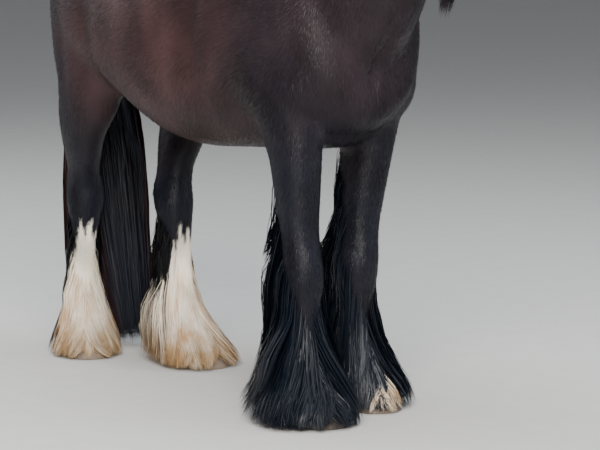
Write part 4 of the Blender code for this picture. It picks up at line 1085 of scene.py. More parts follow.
@dataclass
class Tail:
    """The dock and the long tail that hangs from it nearly to the floor."""

    clumps: int = 140
    strands: int = 66
    steps: int = 9
    width: float = 0.0013
    # Height, then the middle to the left and forward, and half the tail's width and depth
    rows: tuple = (
        (1.205, 0.000, -1.276, 0.034, 0.022), (1.100, 0.004, -1.318, 0.066, 0.042),
        (0.950, 0.006, -1.326, 0.100, 0.058), (0.700, 0.022, -1.302, 0.124, 0.068),
        (0.450, 0.030, -1.260, 0.118, 0.068), (0.200, 0.036, -1.213, 0.104, 0.062),
        (0.000, 0.040, -1.172, 0.082, 0.055))
    dock: tuple = (
        Ring(0, -1.080, 1.235, 0.056, 0.046, 0.046), Ring(0, -1.160, 1.228, 0.052, 0.042, 0.042),
        Ring(0, -1.240, 1.188, 0.046, 0.036, 0.036), Ring(0, -1.282, 1.110, 0.036, 0.028, 0.028),
        Ring(0, -1.292, 1.050, 0.018, 0.016, 0.016))
    # How high a hair grows, then how far back and up the dock's middle is there, and its thickness
    growth: tuple = (
        (1.05, 1.292, 1.050, 0.024), (1.10, 1.282, 1.110, 0.036), (1.15, 1.240, 1.188, 0.046),
        (1.215, 1.110, 1.233, 0.058))

    def on_dock(self, across: Array, down: Array, lift: Array) -> Array:
        """Points over the dock's upper side, at shares of its width, down its length and lifted off it."""
        table = np.array(self.growth)
        middle, up, thick = (np.interp(down, table[:, 0], table[:, i]) for i in (1, 2, 3))
        back = np.interp(down, (1.05, 1.215), (1.0, 0.25))
        thick = thick + lift
        top = np.sqrt(np.maximum(1 - across * across, 0.0)) * thick
        return np.stack([across * thick, middle + back * top, up + np.sqrt(1 - back * back) * top], axis=-1)

    def build(self, shift: Vector) -> bpy.types.Object:
        """The tail's hair as one piece."""
        draw = np.random.default_rng(23)
        n, many = self.clumps, self.strands
        root = np.repeat(draw.uniform(1.05, 1.215, n), many).reshape(n, many, 1)
        tip = np.repeat(0.008 + 0.24 * draw.random(n) ** 3.0, many).reshape(n, many, 1)
        bearing = draw.uniform(0, 2 * math.pi, (n, 1, 1))
        away = np.sqrt(draw.random((n, 1, 1)))
        spread = draw.normal(0, 1, (n, many, 4))
        part = np.linspace(0, 1, self.steps)[None, None, :] ** 1.5
        tips = np.maximum(tip + np.abs(spread[:, :, 1:2]) * 0.03, 0.008)
        height = root + (tips - root) * part ** 0.9
        table = np.array(self.rows[::-1])
        across, forward, width, depth = (np.interp(height, table[:, 0], table[:, i]) for i in (1, 2, 3, 4))
        stray = draw.random((n, 1, 1)) < 0.035
        across = np.where(stray, -0.082 * np.clip(2.4 * part - 0.3, 0.0, 1.0), across)
        forward = np.where(stray, np.minimum(forward, -1.300), forward)
        width, depth = np.where(stray, 0.036, width), np.where(stray, 0.040, depth)
        clump = 0.20 * (1 - part) + 0.10
        x = np.cos(bearing) * away + spread[:, :, 0:1] * clump
        y = np.sin(bearing) * away + spread[:, :, 2:3] * clump
        size = np.maximum(np.hypot(x, y), 1e-6)
        x, y = x / np.maximum(size, 1.0), y / np.maximum(size, 1.0)
        ramp = np.minimum(1.0, 0.35 + 1.6 * part) * (1 - 0.22 * part ** 3)
        phase = draw.uniform(0, 6.28, (n, 1, 1)) + spread[:, :, 3:4] * 0.25
        x = x + 0.05 * np.sin(phase + part * 8.0) * part
        height = np.where(stray, np.maximum(height, 0.22 + 0.1 * np.abs(spread[:, :, 1:2]) * part), height)
        points = np.stack([across + x * width * ramp, -(forward - y * depth * ramp), height], axis=-1)
        lean = np.clip((part - 0.10) * 4.0, 0.0, 1.0)[..., None]
        down = root + (1.05 - root) * np.minimum(part * 3.5, 1.0)
        near = self.on_dock(x, down, 0.016 * np.minimum(part * 12.0, 1.0))
        points = near * (1 - lean) + points * lean
        count = n * many
        outs = np.stack([x, y + 0.4, np.full_like(x, 0.1)], axis=-1)
        outs = outs + draw.normal(0, 0.5, (n, many, 1, 3))
        paths = points.reshape(count, self.steps, 3) + np.array(shift)
        widths, tones = strand_looks(draw, self.width, n, many, part[0, 0], (0.7, 0.4), 0.14)
        made = ribbons("tail_hair", paths, units(outs).reshape(count, self.steps, 3), widths, tones)
        edge = np.clip((np.abs(x[:, :, 4]) - 0.62) / 0.3, 0.0, 1.0) * 0.8
        warm = np.where(stray[:, :, 0], 1.0, edge).reshape(-1)
        mark(made, "warm", np.repeat(warm, 2 * self.steps - 1))
        return made

    def core(self) -> bpy.types.Object:
        """The fleshy dock under the tail's hair."""
        return joined("dock", [tube(self.dock, sides=24, steps=4)])


@dataclass
class Mane:
    """Hair that hangs from guides draped over the skin: mane, forelock and beard."""

    skin: bpy.types.Object
    # How many guides the mane of one side, the forelock and the beard have
    mane_guides: int = 150
    forelock_guides: int = 38
    beard_guides: int = 170
    tree: BVHTree = field(init=False)

    def __post_init__(self) -> None:
        """Makes the search tree over the skin."""
        work = bmesh.new()
        work.from_mesh(self.skin.data)
        self.tree = BVHTree.FromBMesh(work)
        work.free()

    def crest(self, forward: float) -> Vector:
        """The top of the neck at a distance along it."""
        above = turned_point(spot(0, forward, 2.3))
        return self.tree.ray_cast(above, Vector((0, 0, -1)))[0]

    def draped(self, start: Vector, heading: Vector, length: float, steps: int, sag: float,
               lift: float) -> tuple[list, list]:
        """A path along the skin, and the way out at each of its points.

        Args:
            start: Where the path leaves the skin.
            heading: Its first direction.
            length: How long it is.
            steps: How many steps it takes.
            sag: How soon it turns down.
            lift: How far above the skin it lies.

        Returns:
            The path's points and the ways out.
        """
        place, normal, _, _ = self.tree.find_nearest(start)
        way = (heading - normal * heading.dot(normal)).normalized()
        path, outward = [place - normal * 0.003], [normal]
        for i in range(steps):
            way = (way + Vector((0, 0, -sag))).normalized()
            ahead = path[-1] + way * (length / steps)
            place, normal, _, _ = self.tree.find_nearest(ahead)
            gap = (ahead - place).dot(normal)
            rise = lift * min(1.0, (i + 1) / 2.5)
            point = place + normal * rise if gap < rise * 2.5 else ahead
            path.append(point)
            outward.append(normal)
        return path, outward

    def strands(self, name: str, guides: list, many: int, loose: float, width: float, seed: int,
                shift: Vector, ends: float = 0.3) -> bpy.types.Object:
        """Strands round every guide, drawn together towards its tip.

        Args:
            name: The name of the piece.
            guides: Paths with their ways out.
            many: How many strands follow each guide.
            loose: How far apart they stand at the root.
            width: Half a strand's width.
            seed: The seed of the draws.
            shift: How far the model's frame is from the horse's own place.
            ends: How much of the looseness is left at the tip.

        Returns:
            The strands as one piece.
        """
        draw = np.random.default_rng(seed)
        paths, outs = (as_arrays(lines) for lines in zip(*guides))
        n, steps, _ = paths.shape
        share = np.linspace(0, 1, steps)[None, None, :, None]
        ahead = units(np.gradient(paths, axis=1))
        side = units(np.cross(ahead, outs))
        off = draw.normal(0, 1, (n, many, 1, 2))
        loosen = loose * (1 - share * (1 - ends))
        wave = 0.25 * np.sin(draw.uniform(0, 6.28, (n, 1, 1, 1)) + share * 7.0) * share
        points = paths[:, None] + side[:, None] * (off[..., :1] + wave) * loosen
        points = points + outs[:, None] * np.abs(off[..., 1:]) * loosen * 0.35
        pull = 1 - 0.28 * draw.random((n, many, 1, 1)) ** 2
        grid = np.clip(share * pull, 0, 1) * (steps - 1)
        low = np.minimum(grid.astype(int), steps - 2)
        near = np.take_along_axis(points, np.broadcast_to(low, points.shape[:3] + (1,)), axis=2)
        far = np.take_along_axis(points, np.broadcast_to(low + 1, points.shape[:3] + (1,)), axis=2)
        points = near + (far - near) * (grid - low)
        count = n * many
        faces_out = units(outs[:, None] + draw.normal(0, 0.4, (n, many, 1, 3)))
        faces_out = np.broadcast_to(faces_out, points.shape).reshape(count, steps, 3)
        widths, tones = strand_looks(draw, width, n, many, np.linspace(0, 1, steps))
        return ribbons(name, points.reshape(count, steps, 3) + np.array(shift), faces_out, widths, tones)

    def mane(self, side: int, shift: Vector) -> bpy.types.Object:
        """The mane of one side, draped from the crest."""
        draw = np.random.default_rng(31 + side)
        guides = []
        for i in range(self.mane_guides):
            forward = 0.420 - 0.490 * (i + draw.uniform(-0.4, 0.4)) / self.mane_guides
            start = self.crest(forward) + Vector((side * draw.uniform(-0.004, 0.012), 0, 0))
            back = draw.uniform(-0.10, 0.35)
            length = draw.uniform(0.22, 0.36)
            sag, lift = draw.uniform(0.42, 0.65), draw.uniform(0.004, 0.022)
            guides.append(self.draped(start, Vector((side, back, 0.0)), length, 8, sag, lift))
        return self.strands(sided("mane", side), guides, 46, 0.0085, 0.0014, 37 + side, shift)

    def forelock(self, shift: Vector) -> bpy.types.Object:
        """The forelock, which falls from between the ears over the brow."""
        draw = np.random.default_rng(41)
        guides = []
        for _ in range(self.forelock_guides):
            across = draw.uniform(-0.040, 0.040)
            start = turned_point(on_head(0.020 + 0.02 * draw.random(), 0.055, across))
            down = turned_point(on_head(0.40, 0.06, across * 0.5)) - start
            length, lift = draw.uniform(0.16, 0.26), draw.uniform(0.003, 0.016)
            guides.append(self.draped(start, down, length, 8, 0.12, lift))
        return self.strands("forelock", guides, 46, 0.0060, 0.0011, 43, shift)

    def beard(self, shift: Vector) -> bpy.types.Object:
        """The long hairs under the chin and along the jaw."""
        draw = np.random.default_rng(47)
        guides = []
        for _ in range(self.beard_guides):
            along = draw.uniform(0.34, 0.580)
            across = draw.uniform(-0.030, 0.030) * (1.35 if along > 0.50 else 1.0)
            start = turned_point(on_head(along, -0.12, across))
            length = draw.uniform(0.012, 0.032) + 0.030 * draw.random() ** 3 + 0.022 * (along > 0.50)
            place, normal, _, _ = self.tree.find_nearest(start)
            path = [place - normal * 0.003 + Vector((0, 0.004 * k, -length * k / 5)) for k in range(6)]
            guides.append((path, [normal] * 6))
        return self.strands("beard", guides, 7, 0.0055, 0.0004, 53, shift, ends=0.8)


# The short coat

class Region(Enum):
    """The parts of the skin that carry a piece of the short coat each."""

    TORSO_LEFT = "torso_left"
    TORSO_RIGHT = "torso_right"
    NECK = "neck"
    HEAD = "head"
    LEGS = "legs"


@dataclass
class ShortCoat:
    """Flat tufts of short hair all over the skin, laid along its lie by Geometry Nodes."""

    skin: bpy.types.Object
    shift: Vector
    density: tuple = (30000.0, 30000.0, 40000.0, 130000.0, 36000.0)
    lengths: tuple = (0.017, 0.017, 0.018, 0.0085, 0.013)
    widths: tuple = (0.0010, 0.0010, 0.0010, 0.0007, 0.0009)
    limit: int = 40000

    def tuft(self) -> bpy.types.Object:
        """One tuft, one long and lying along Y, with its tip a little up."""
        points = np.array([(-1, 0, -0.02), (1, 0, -0.02), (-0.8, 0.55, 0.06), (0.8, 0.55, 0.06),
                           (0, 1, 0.07)])
        made = from_arrays("tuft", points, np.array([(0, 1, 3), (0, 3, 2), (2, 3, 4)]))
        mark(made, "along", np.array([0, 0, 0.55, 0.55, 1.0]))
        mark(made, "beside", np.array([0, 1, 0.1, 0.9, 0.5]))
        return made

    def lie(self, points: Array, out: Array) -> Array:
        """The way the hair lies at each point of the skin."""
        home = points - np.array(self.shift)
        forward, height = -home[:, 1], home[:, 2]
        level = np.ones(len(home))
        way = np.column_stack([0.15 * np.sign(home[:, 0]), level, -0.35 * level])
        low = np.clip((0.98 - height) / 0.25, 0, 1)[:, None]
        way = way * (1 - low) + np.array([0, 0.25, -1.0]) * low
        breast = (np.clip((forward + 0.06) / 0.20, 0, 1) * np.clip((1.34 - height) / 0.26, 0, 1))[:, None]
        way = way * (1 - breast) + np.array([0, 0.0, -1.0]) * breast
        face = np.array(turned_point(on_head(0.6, 0.0)) - turned_point(on_head(0.0, 0.0)))
        ahead = np.clip((forward - 0.40) / 0.08, 0, 1)[:, None] * (height > 1.0)[:, None]
        way = way * (1 - ahead) + units(face) * ahead
        swirl = np.column_stack([np.sin(17 * home[:, 1] + 9 * height),
                                 np.sin(13 * height + 5 * home[:, 0]), np.sin(15 * home[:, 1])])
        way = way + 0.16 * swirl
        return units(way - out * (way * out).sum(axis=1, keepdims=True))

    def region(self, points: Array) -> Array:
        """The number of the region that each point is in."""
        home = points - np.array(self.shift)
        forward, height = -home[:, 1], home[:, 2]
        found = np.where(home[:, 0] > 0, 0, 1)
        found = np.where(forward + (height - 1.22) * 0.84 > 0.05, 2, found)
        found = np.where((forward > 0.405 - (height - 1.55) * -0.14) & (height > 1.0), 3, found)
        return np.where(height < 0.70, 4, found)

    def tree(self) -> bpy.types.NodeTree:
        """The node tree that strews tufts over a surface, with inputs for its sizes."""
        tree = bpy.data.node_groups.new("strewn_tufts", "GeometryNodeTree")
        face = tree.interface
        face.new_socket("Geometry", in_out="INPUT", socket_type="NodeSocketGeometry")
        for name, kind in (("Density", "Float"), ("Length", "Float"), ("Width", "Float"), ("Seed", "Int"),
                           ("Tuft", "Object"), ("Finish", "Material")):
            face.new_socket(name, in_out="INPUT", socket_type="NodeSocket" + kind)
        face.new_socket("Geometry", in_out="OUTPUT", socket_type="NodeSocketGeometry")
        add, link = tree.nodes.new, tree.links.new
        given = add("NodeGroupInput").outputs
        strewn = add("GeometryNodeDistributePointsOnFaces")
        link(given["Geometry"], strewn.inputs["Mesh"])
        cover = self.named(tree, "cover", "FLOAT")
        link(self.maths(tree, "MULTIPLY", given["Density"], cover), strewn.inputs["Density"])
        link(given["Seed"], strewn.inputs["Seed"])
        points = self.stored(tree, strewn.outputs["Points"], "root", "FLOAT_VECTOR",
                             add("GeometryNodeInputPosition").outputs[0])
        points = self.stored(tree, points, "tone", "FLOAT", self.random(tree, 0.32, 0.68, given["Seed"], 1))
        upright = add("FunctionNodeAlignRotationToVector")
        upright.axis = "Z"
        link(strewn.outputs["Normal"], upright.inputs["Vector"])
        laid = add("FunctionNodeAlignRotationToVector")
        laid.axis, laid.pivot_axis = "Y", "Z"
        link(upright.outputs[0], laid.inputs["Rotation"])
        link(self.named(tree, "lie", "FLOAT_VECTOR"), laid.inputs["Vector"])
        swing = add("FunctionNodeRotateRotation")
        swing.rotation_space = "LOCAL"
        link(laid.outputs[0], swing.inputs["Rotation"])
        angles = add("ShaderNodeCombineXYZ")
        link(self.random(tree, -0.04, 0.12, given["Seed"], 2), angles.inputs[0])
        link(self.random(tree, -0.25, 0.25, given["Seed"], 3), angles.inputs[1])
        link(self.random(tree, -0.24, 0.24, given["Seed"], 4), angles.inputs[2])
        turn = add("FunctionNodeEulerToRotation")
        link(angles.outputs[0], turn.inputs[0])
        link(turn.outputs[0], swing.inputs["Rotate By"])
        size = self.maths(tree, "MULTIPLY", given["Length"], self.named(tree, "growth", "FLOAT"))
        size = self.maths(tree, "MULTIPLY", size, self.random(tree, 0.6, 1.25, given["Seed"], 5))
        scale = add("ShaderNodeCombineXYZ")
        link(given["Width"], scale.inputs[0])
        link(size, scale.inputs[1])
        link(size, scale.inputs[2])
        info = add("GeometryNodeObjectInfo")
        link(given["Tuft"], info.inputs["Object"])
        placed = add("GeometryNodeInstanceOnPoints")
        link(points, placed.inputs["Points"])
        link(info.outputs["Geometry"], placed.inputs["Instance"])
        link(swing.outputs[0], placed.inputs["Rotation"])
        link(scale.outputs[0], placed.inputs["Scale"])
        real = add("GeometryNodeRealizeInstances")
        link(placed.outputs[0], real.inputs[0])
        dressed = add("GeometryNodeSetMaterial")
        link(real.outputs[0], dressed.inputs["Geometry"])
        link(given["Finish"], dressed.inputs["Material"])
        link(dressed.outputs[0], add("NodeGroupOutput").inputs[0])
        return tree

    def named(self, tree: bpy.types.NodeTree, name: str, kind: str) -> bpy.types.NodeSocket:
        """An attribute of the skin, read by its name."""
        node = tree.nodes.new("GeometryNodeInputNamedAttribute")
        node.data_type = kind
        node.inputs["Name"].default_value = name
        return next(socket for socket in node.outputs if socket.enabled and socket.name == "Attribute")

    def maths(self, tree: bpy.types.NodeTree, operation: str, first: object, second: object) -> object:
        """Arithmetic on two sockets."""
        node = tree.nodes.new("ShaderNodeMath")
        node.operation = operation
        tree.links.new(first, node.inputs[0])
        tree.links.new(second, node.inputs[1])
        return node.outputs[0]

    def random(self, tree: bpy.types.NodeTree, low: float, high: float, seed: object, step: int) -> object:
        """A random number for each tuft."""
        node = tree.nodes.new("FunctionNodeRandomValue")
        node.data_type = "FLOAT"
        for socket in node.inputs:
            if socket.enabled and socket.name == "Min":
                socket.default_value = low
            if socket.enabled and socket.name == "Max":
                socket.default_value = high
        more = tree.nodes.new("ShaderNodeMath")
        more.inputs[1].default_value = float(step)
        tree.links.new(seed, more.inputs[0])
        tree.links.new(more.outputs[0], node.inputs["Seed"])
        return next(socket for socket in node.outputs if socket.enabled)

    def stored(self, tree: bpy.types.NodeTree, source: object, name: str, kind: str,
               value: object) -> object:
        """Geometry with an attribute stored on it."""
        node = tree.nodes.new("GeometryNodeStoreNamedAttribute")
        node.data_type = kind
        node.inputs["Name"].default_value = name
        tree.links.new(source, node.inputs["Geometry"])
        tree.links.new(value, next(s for s in node.inputs if s.enabled and s.name == "Value"))
        return node.outputs[0]

    def wraps(self) -> list[Callable[[Array], Array]]:
        """How each region of the skin is laid flat."""
        def at(across: float, forward: float, height: float) -> Vector:
            """A point of the horse in the model's frame."""
            return spot(across, forward, height) + self.shift

        head = [turned_point(on_head(along, -0.03)) + self.shift for along in (-0.1, 0.65)]
        legs = wrapped((at(0, -0.55, 0.72), at(0, -0.55, 0.0)))
        return [wrapped((at(0, -1.4, 1.0), at(0, 0.3, 1.0)))] * 2 + [
            wrapped((at(0, -0.2, 1.0), at(0.0, 0.55, 1.72))), wrapped(head), legs]

    def build(self, finish: bpy.types.Material) -> list[bpy.types.Object]:
        """Every region's coat, one piece each."""
        tuft, tree = self.tuft(), self.tree()
        points, out = positions(self.skin), normals(self.skin)
        mark(self.skin, "lie", self.lie(points, out))
        home = points - np.array(self.shift)
        opened = (1 - marked(self.skin, "naked")) * (home[:, 2] > 0.10)
        mark(self.skin, "cover", opened)
        muzzle = np.linalg.norm(home - np.array(turned_point(on_head(0.58, -0.03))), axis=1)
        growth = np.clip(0.35 + muzzle / 0.30, 0.35, 1.0) * np.where(home[:, 2] < 0.92, 1.15, 1.0)
        mark(self.skin, "growth", growth)
        corner = np.empty(len(self.skin.data.polygons), np.int32)
        self.skin.data.polygons.foreach_get("loop_start", corner)
        vertex = np.empty(len(self.skin.data.loops), np.int32)
        self.skin.data.loops.foreach_get("vertex_index", vertex)
        zones = self.region(points)[vertex[corner]]
        made = []
        for number, (region, wrap) in enumerate(zip(Region, self.wraps())):
            ground = self.part_of(number, zones)
            made.append(self.strewn(ground, tree, tuft, number, region, finish))
            mapped(made[-1], wrap)
        bpy.data.objects.remove(tuft)
        return made

    def part_of(self, number: int, zones: Array) -> bpy.types.Object:
        """A copy of the skin with only one region's faces."""
        work = bmesh.new()
        work.from_mesh(self.skin.data)
        work.faces.ensure_lookup_table()
        gone = [work.faces[i] for i in np.nonzero(zones != number)[0]]
        bmesh.ops.delete(work, geom=gone, context="FACES")
        mesh = bpy.data.meshes.new("ground")
        work.to_mesh(mesh)
        work.free()
        return linked("ground", mesh)

    def strewn(self, ground: bpy.types.Object, tree: bpy.types.NodeTree, tuft: bpy.types.Object, number: int,
               region: Region, finish: bpy.types.Material) -> bpy.types.Object:
        """One region's tufts as a plain mesh. The ground is removed."""
        area = sum(face.area for face in ground.data.polygons)
        strew = ground.modifiers.new("tufts", "NODES")
        strew.node_group = tree
        sockets = {item.name: item.identifier for item in tree.interface.items_tree
                   if item.in_out == "INPUT"}
        values = {"Density": min(self.density[number], self.limit / area), "Length": self.lengths[number],
                  "Width": self.widths[number], "Seed": 71 + 13 * number, "Tuft": tuft, "Finish": finish}
        for name, value in values.items():
            strew[sockets[name]] = value
        return evaluated(ground, "coat_" + region.value)


# Eyes, ears and hooves

@dataclass
class Eye:
    """One eyeball with its clear bulge, and the lids' rims round it."""

    side: int
    rows: int = 28
    columns: int = 40
    rim: float = 0.0019
    lash_count: int = 64

    def ball(self, shift: Vector) -> bpy.types.Object:
        """The eyeball, with what its finish reads of the pupil and iris."""
        work = bmesh.new()
        bmesh.ops.create_uvsphere(work, u_segments=self.columns, v_segments=self.rows,
                                  radius=EYE_RADIUS - 0.0008)
        made = joined(sided("eyeball", self.side), [work])
        points = positions(made)
        gaze, level, upright = (np.array(way) for way in eye_frame(self.side))
        share = units(points)
        ahead = share @ gaze
        off = np.sqrt(np.clip(1 - ahead ** 2, 0, 1))
        bulge = 1 + 0.05 * np.clip((ahead - 0.75) / 0.25, 0, 1) ** 1.5
        wide, tall = share @ level, share @ upright
        mark(made, "gaze", np.where(ahead > 0, off, 1.0))
        mark(made, "pupil", np.where(ahead > 0, np.sqrt((wide / 0.36) ** 2 + (tall / 0.17) ** 2), 2.0))
        move_to(made, points * bulge[:, None] + np.array(eye_centre(self.side)))
        return settled(made, shift)

    def lids(self, shift: Vector) -> bpy.types.Object:
        """The thick dark edges of both lids, as one closed ring that lies on the eyeball."""
        gaze, level, upright = eye_frame(self.side)
        centre = eye_centre(self.side)
        ring, sides = 56, 10
        work = bmesh.new()
        rows = []
        for i in range(ring):
            turn = 2 * math.pi * i / ring
            peak = LID_ABOVE if math.sin(turn) > 0 else LID_BELOW
            tall = peak * math.sin(turn) * abs(math.sin(turn)) ** 0.15
            place = level * (LID_WIDTH * math.cos(turn)) + upright * tall
            out = (gaze * math.sqrt(max(EYE_RADIUS ** 2 - place.length ** 2, 1e-8)) + place).normalized()
            middle = centre + out * (EYE_RADIUS + 0.0008)
            aside = (level * math.cos(turn) + upright * math.sin(turn)).normalized()
            size = self.rim * (1.25 if math.sin(turn) > 0 else 0.9)
            rows.append([work.verts.new(middle + out * (size * math.cos(2 * math.pi * j / sides))
                                        + aside * (1.5 * size * math.sin(2 * math.pi * j / sides)))
                         for j in range(sides)])
        bridged(work, rows, rows[1:] + rows[:1])
        return settled(joined(sided("lids", self.side), [work]), shift)

    def lashes(self, shift: Vector) -> bpy.types.Object:
        """The lashes of the upper lid."""
        draw = np.random.default_rng(61)
        gaze, level, upright = eye_frame(self.side)
        paths, outs = [], []
        for i in range(self.lash_count):
            turn = math.pi * (0.10 + 0.80 * (i + draw.uniform(-0.4, 0.4)) / self.lash_count)
            place = level * (LID_WIDTH * math.cos(turn)) + upright * (LID_ABOVE * math.sin(turn))
            out = (gaze * math.sqrt(EYE_RADIUS ** 2 - place.length ** 2) + place).normalized()
            start = eye_centre(self.side) + out * (EYE_RADIUS + 0.0015)
            length = draw.uniform(0.008, 0.016)
            paths.append([start + (out * k * 0.8 + Vector((0, 0, -0.35 * k + 0.06 * k * k))) * length / 4
                          for k in range(5)])
            outs.append([upright] * 5)
        widths = np.tile(np.array([0.0003, 0.0003, 0.00025, 0.0002]), (self.lash_count, 1))
        return ribbons(sided("lashes", self.side), turned_paths(paths, shift), as_arrays(outs), widths,
                       np.full(self.lash_count, 0.2))


@dataclass
class Ear:
    """One ear: a thin cup with a rolled edge, open to the front and side, and the hair in it."""

    side: int
    hairs: int = 1500
    # How far up the ear, and how far its wall is from its middle
    shape: tuple = (
        (0.00, 0.020), (0.08, 0.0250), (0.16, 0.029), (0.25, 0.033), (0.34, 0.036), (0.44, 0.0362),
        (0.54, 0.035), (0.63, 0.0315), (0.72, 0.027), (0.80, 0.0208), (0.88, 0.014), (0.95, 0.0075),
        (1.0, 0.003))

    def frame(self) -> tuple[Vector, Vector, Vector, Vector]:
        """The ear's base, and its ways up, out of its cup, and across."""
        base = on_head(0.030, 0.012, self.side * 0.050)
        axis = Vector((self.side * 0.26, 0.02, 0.96)).normalized()
        facing = Vector((self.side * 0.55, -0.84, 0.0))
        facing = (facing - axis * facing.dot(axis)).normalized()
        return base, axis, facing, axis.cross(facing).normalized()

    def middle(self, share: float) -> Vector:
        """The middle of the cup at a share of the ear's height."""
        base, axis, facing, _ = self.frame()
        bow = 0.020 * share * share - 0.010 * math.sin(math.pi * share)
        return base + axis * (EAR_LENGTH * share) + facing * bow

    def build(self, shift: Vector) -> bpy.types.Object:
        """The ear's cup."""
        _, _, facing, wide = self.frame()
        arc = [math.radians(-142 + 284 * i / 18) for i in range(19)]
        work = bmesh.new()
        rows = []
        for share, reach in self.shape:
            centre = self.middle(share)
            wall = min(0.0040, reach * 0.45)
            loop = []
            for inside in (False, True):
                size = reach - wall if inside else reach - 0.0006
                line = [centre - facing * (math.cos(a) * size * 0.85) + wide * (math.sin(a) * size)
                        for a in arc]
                loop += line[::-1] if inside else line
            rows.append([work.verts.new(point) for point in loop])
        work.faces.new(rows[0][::-1])
        work.faces.new(rows[-1])
        bridged(work, rows, rows[1:])
        return settled(joined(sided("ear_cup", self.side), [work]), shift)

    def hair(self, shift: Vector) -> bpy.types.Object:
        """Fine hair inside the cup and along its edge."""
        draw = np.random.default_rng(67 + self.side)
        _, axis, facing, wide = self.frame()
        paths, outs = [], []
        for _ in range(self.hairs):
            share = draw.uniform(0.02, 0.96)
            reach = float(np.interp(share, [s for s, _ in self.shape], [r for _, r in self.shape]))
            edge = draw.random() < 0.45
            turn = draw.choice([-1, 1]) * draw.uniform(120, 142) if edge else draw.uniform(-142, 142)
            angle = math.radians(turn)
            inside = edge or draw.random() < 0.4
            size = reach - (0.0042 if inside else 0.0006)
            out = (-facing * math.cos(angle) * 0.85 + wide * math.sin(angle)).normalized()
            start = self.middle(share) + out * size
            length = draw.uniform(0.008, 0.020) if edge else draw.uniform(0.006, 0.012)
            rise = -out * 0.5 + facing * 0.3 if inside else out * 0.10
            way = (axis * 0.9 + rise + Vector(draw.normal(0, 0.12, 3))).normalized()
            paths.append([start + way * (length * k / 3) for k in range(4)])
            outs.append([out if not inside else facing] * 4)
        widths = np.tile(np.array([0.0005, 0.0006, 0.0004]), (self.hairs, 1))
        return ribbons(sided("ear_hair", self.side), turned_paths(paths, shift), as_arrays(outs), widths,
                       draw.uniform(0.3, 0.7, self.hairs))


@dataclass
class Hoof:
    """One hoof: a sloped wall from the coronet to a flat sole, with low growth rings."""

    leg: Leg
    sides: int = 56
    rows: int = 26

    def build(self, shift: Vector) -> bpy.types.Object:
        """The hoof, in the model's frame."""
        leg = self.leg
        across, forward = leg.centre(HOOF_TOP)
        share = np.concatenate([[0.0], np.linspace(0.02, 0.985, self.rows), [1.0]])
        inset = np.concatenate([[0.004], np.zeros(self.rows), [0.0035]])
        ripple = 0.0007 * np.sin(share * 46.0) * (inset == 0)
        ripple = ripple + 0.0022 * np.exp(-((share - 0.06) / 0.05) ** 2)
        angle = 2 * math.pi * np.arange(self.sides) / self.sides
        width, length, slide = hoof_outline(share[:, None])
        heel = np.where(np.cos(angle) > 0, 1.0, 0.92)[None]
        inset = (inset - ripple + 0.0012)[:, None]
        x = (width - inset) * np.sin(angle)
        y = slide + (length * heel - inset) * np.cos(angle)
        top = HOOF_TOP + y * math.tan(HOOF_SLOPE)
        z = top * (1 - share[:, None])
        turn = leg.toe_out
        points = np.stack([across + x * math.cos(turn) + y * math.sin(turn),
                           -(forward - x * math.sin(turn) + y * math.cos(turn)), z], axis=-1)
        work = bmesh.new()
        rows = [[work.verts.new(point) for point in row] for row in points]
        work.faces.new(rows[0])
        work.faces.new(rows[-1][::-1])
        for low, high in zip(rows, rows[1:]):
            for j in range(self.sides):
                k = (j + 1) % self.sides
                work.faces.new((low[j], high[j], high[k], low[k]))
        bmesh.ops.recalc_face_normals(work, faces=work.faces)
        made = joined("horn_" + leg.name, [work])
        mark(made, "down", np.repeat(share, self.sides))
        move_to(made, positions(made) + np.array(shift))
        made.data.shade_smooth()
        return made


# Floor, lights and camera

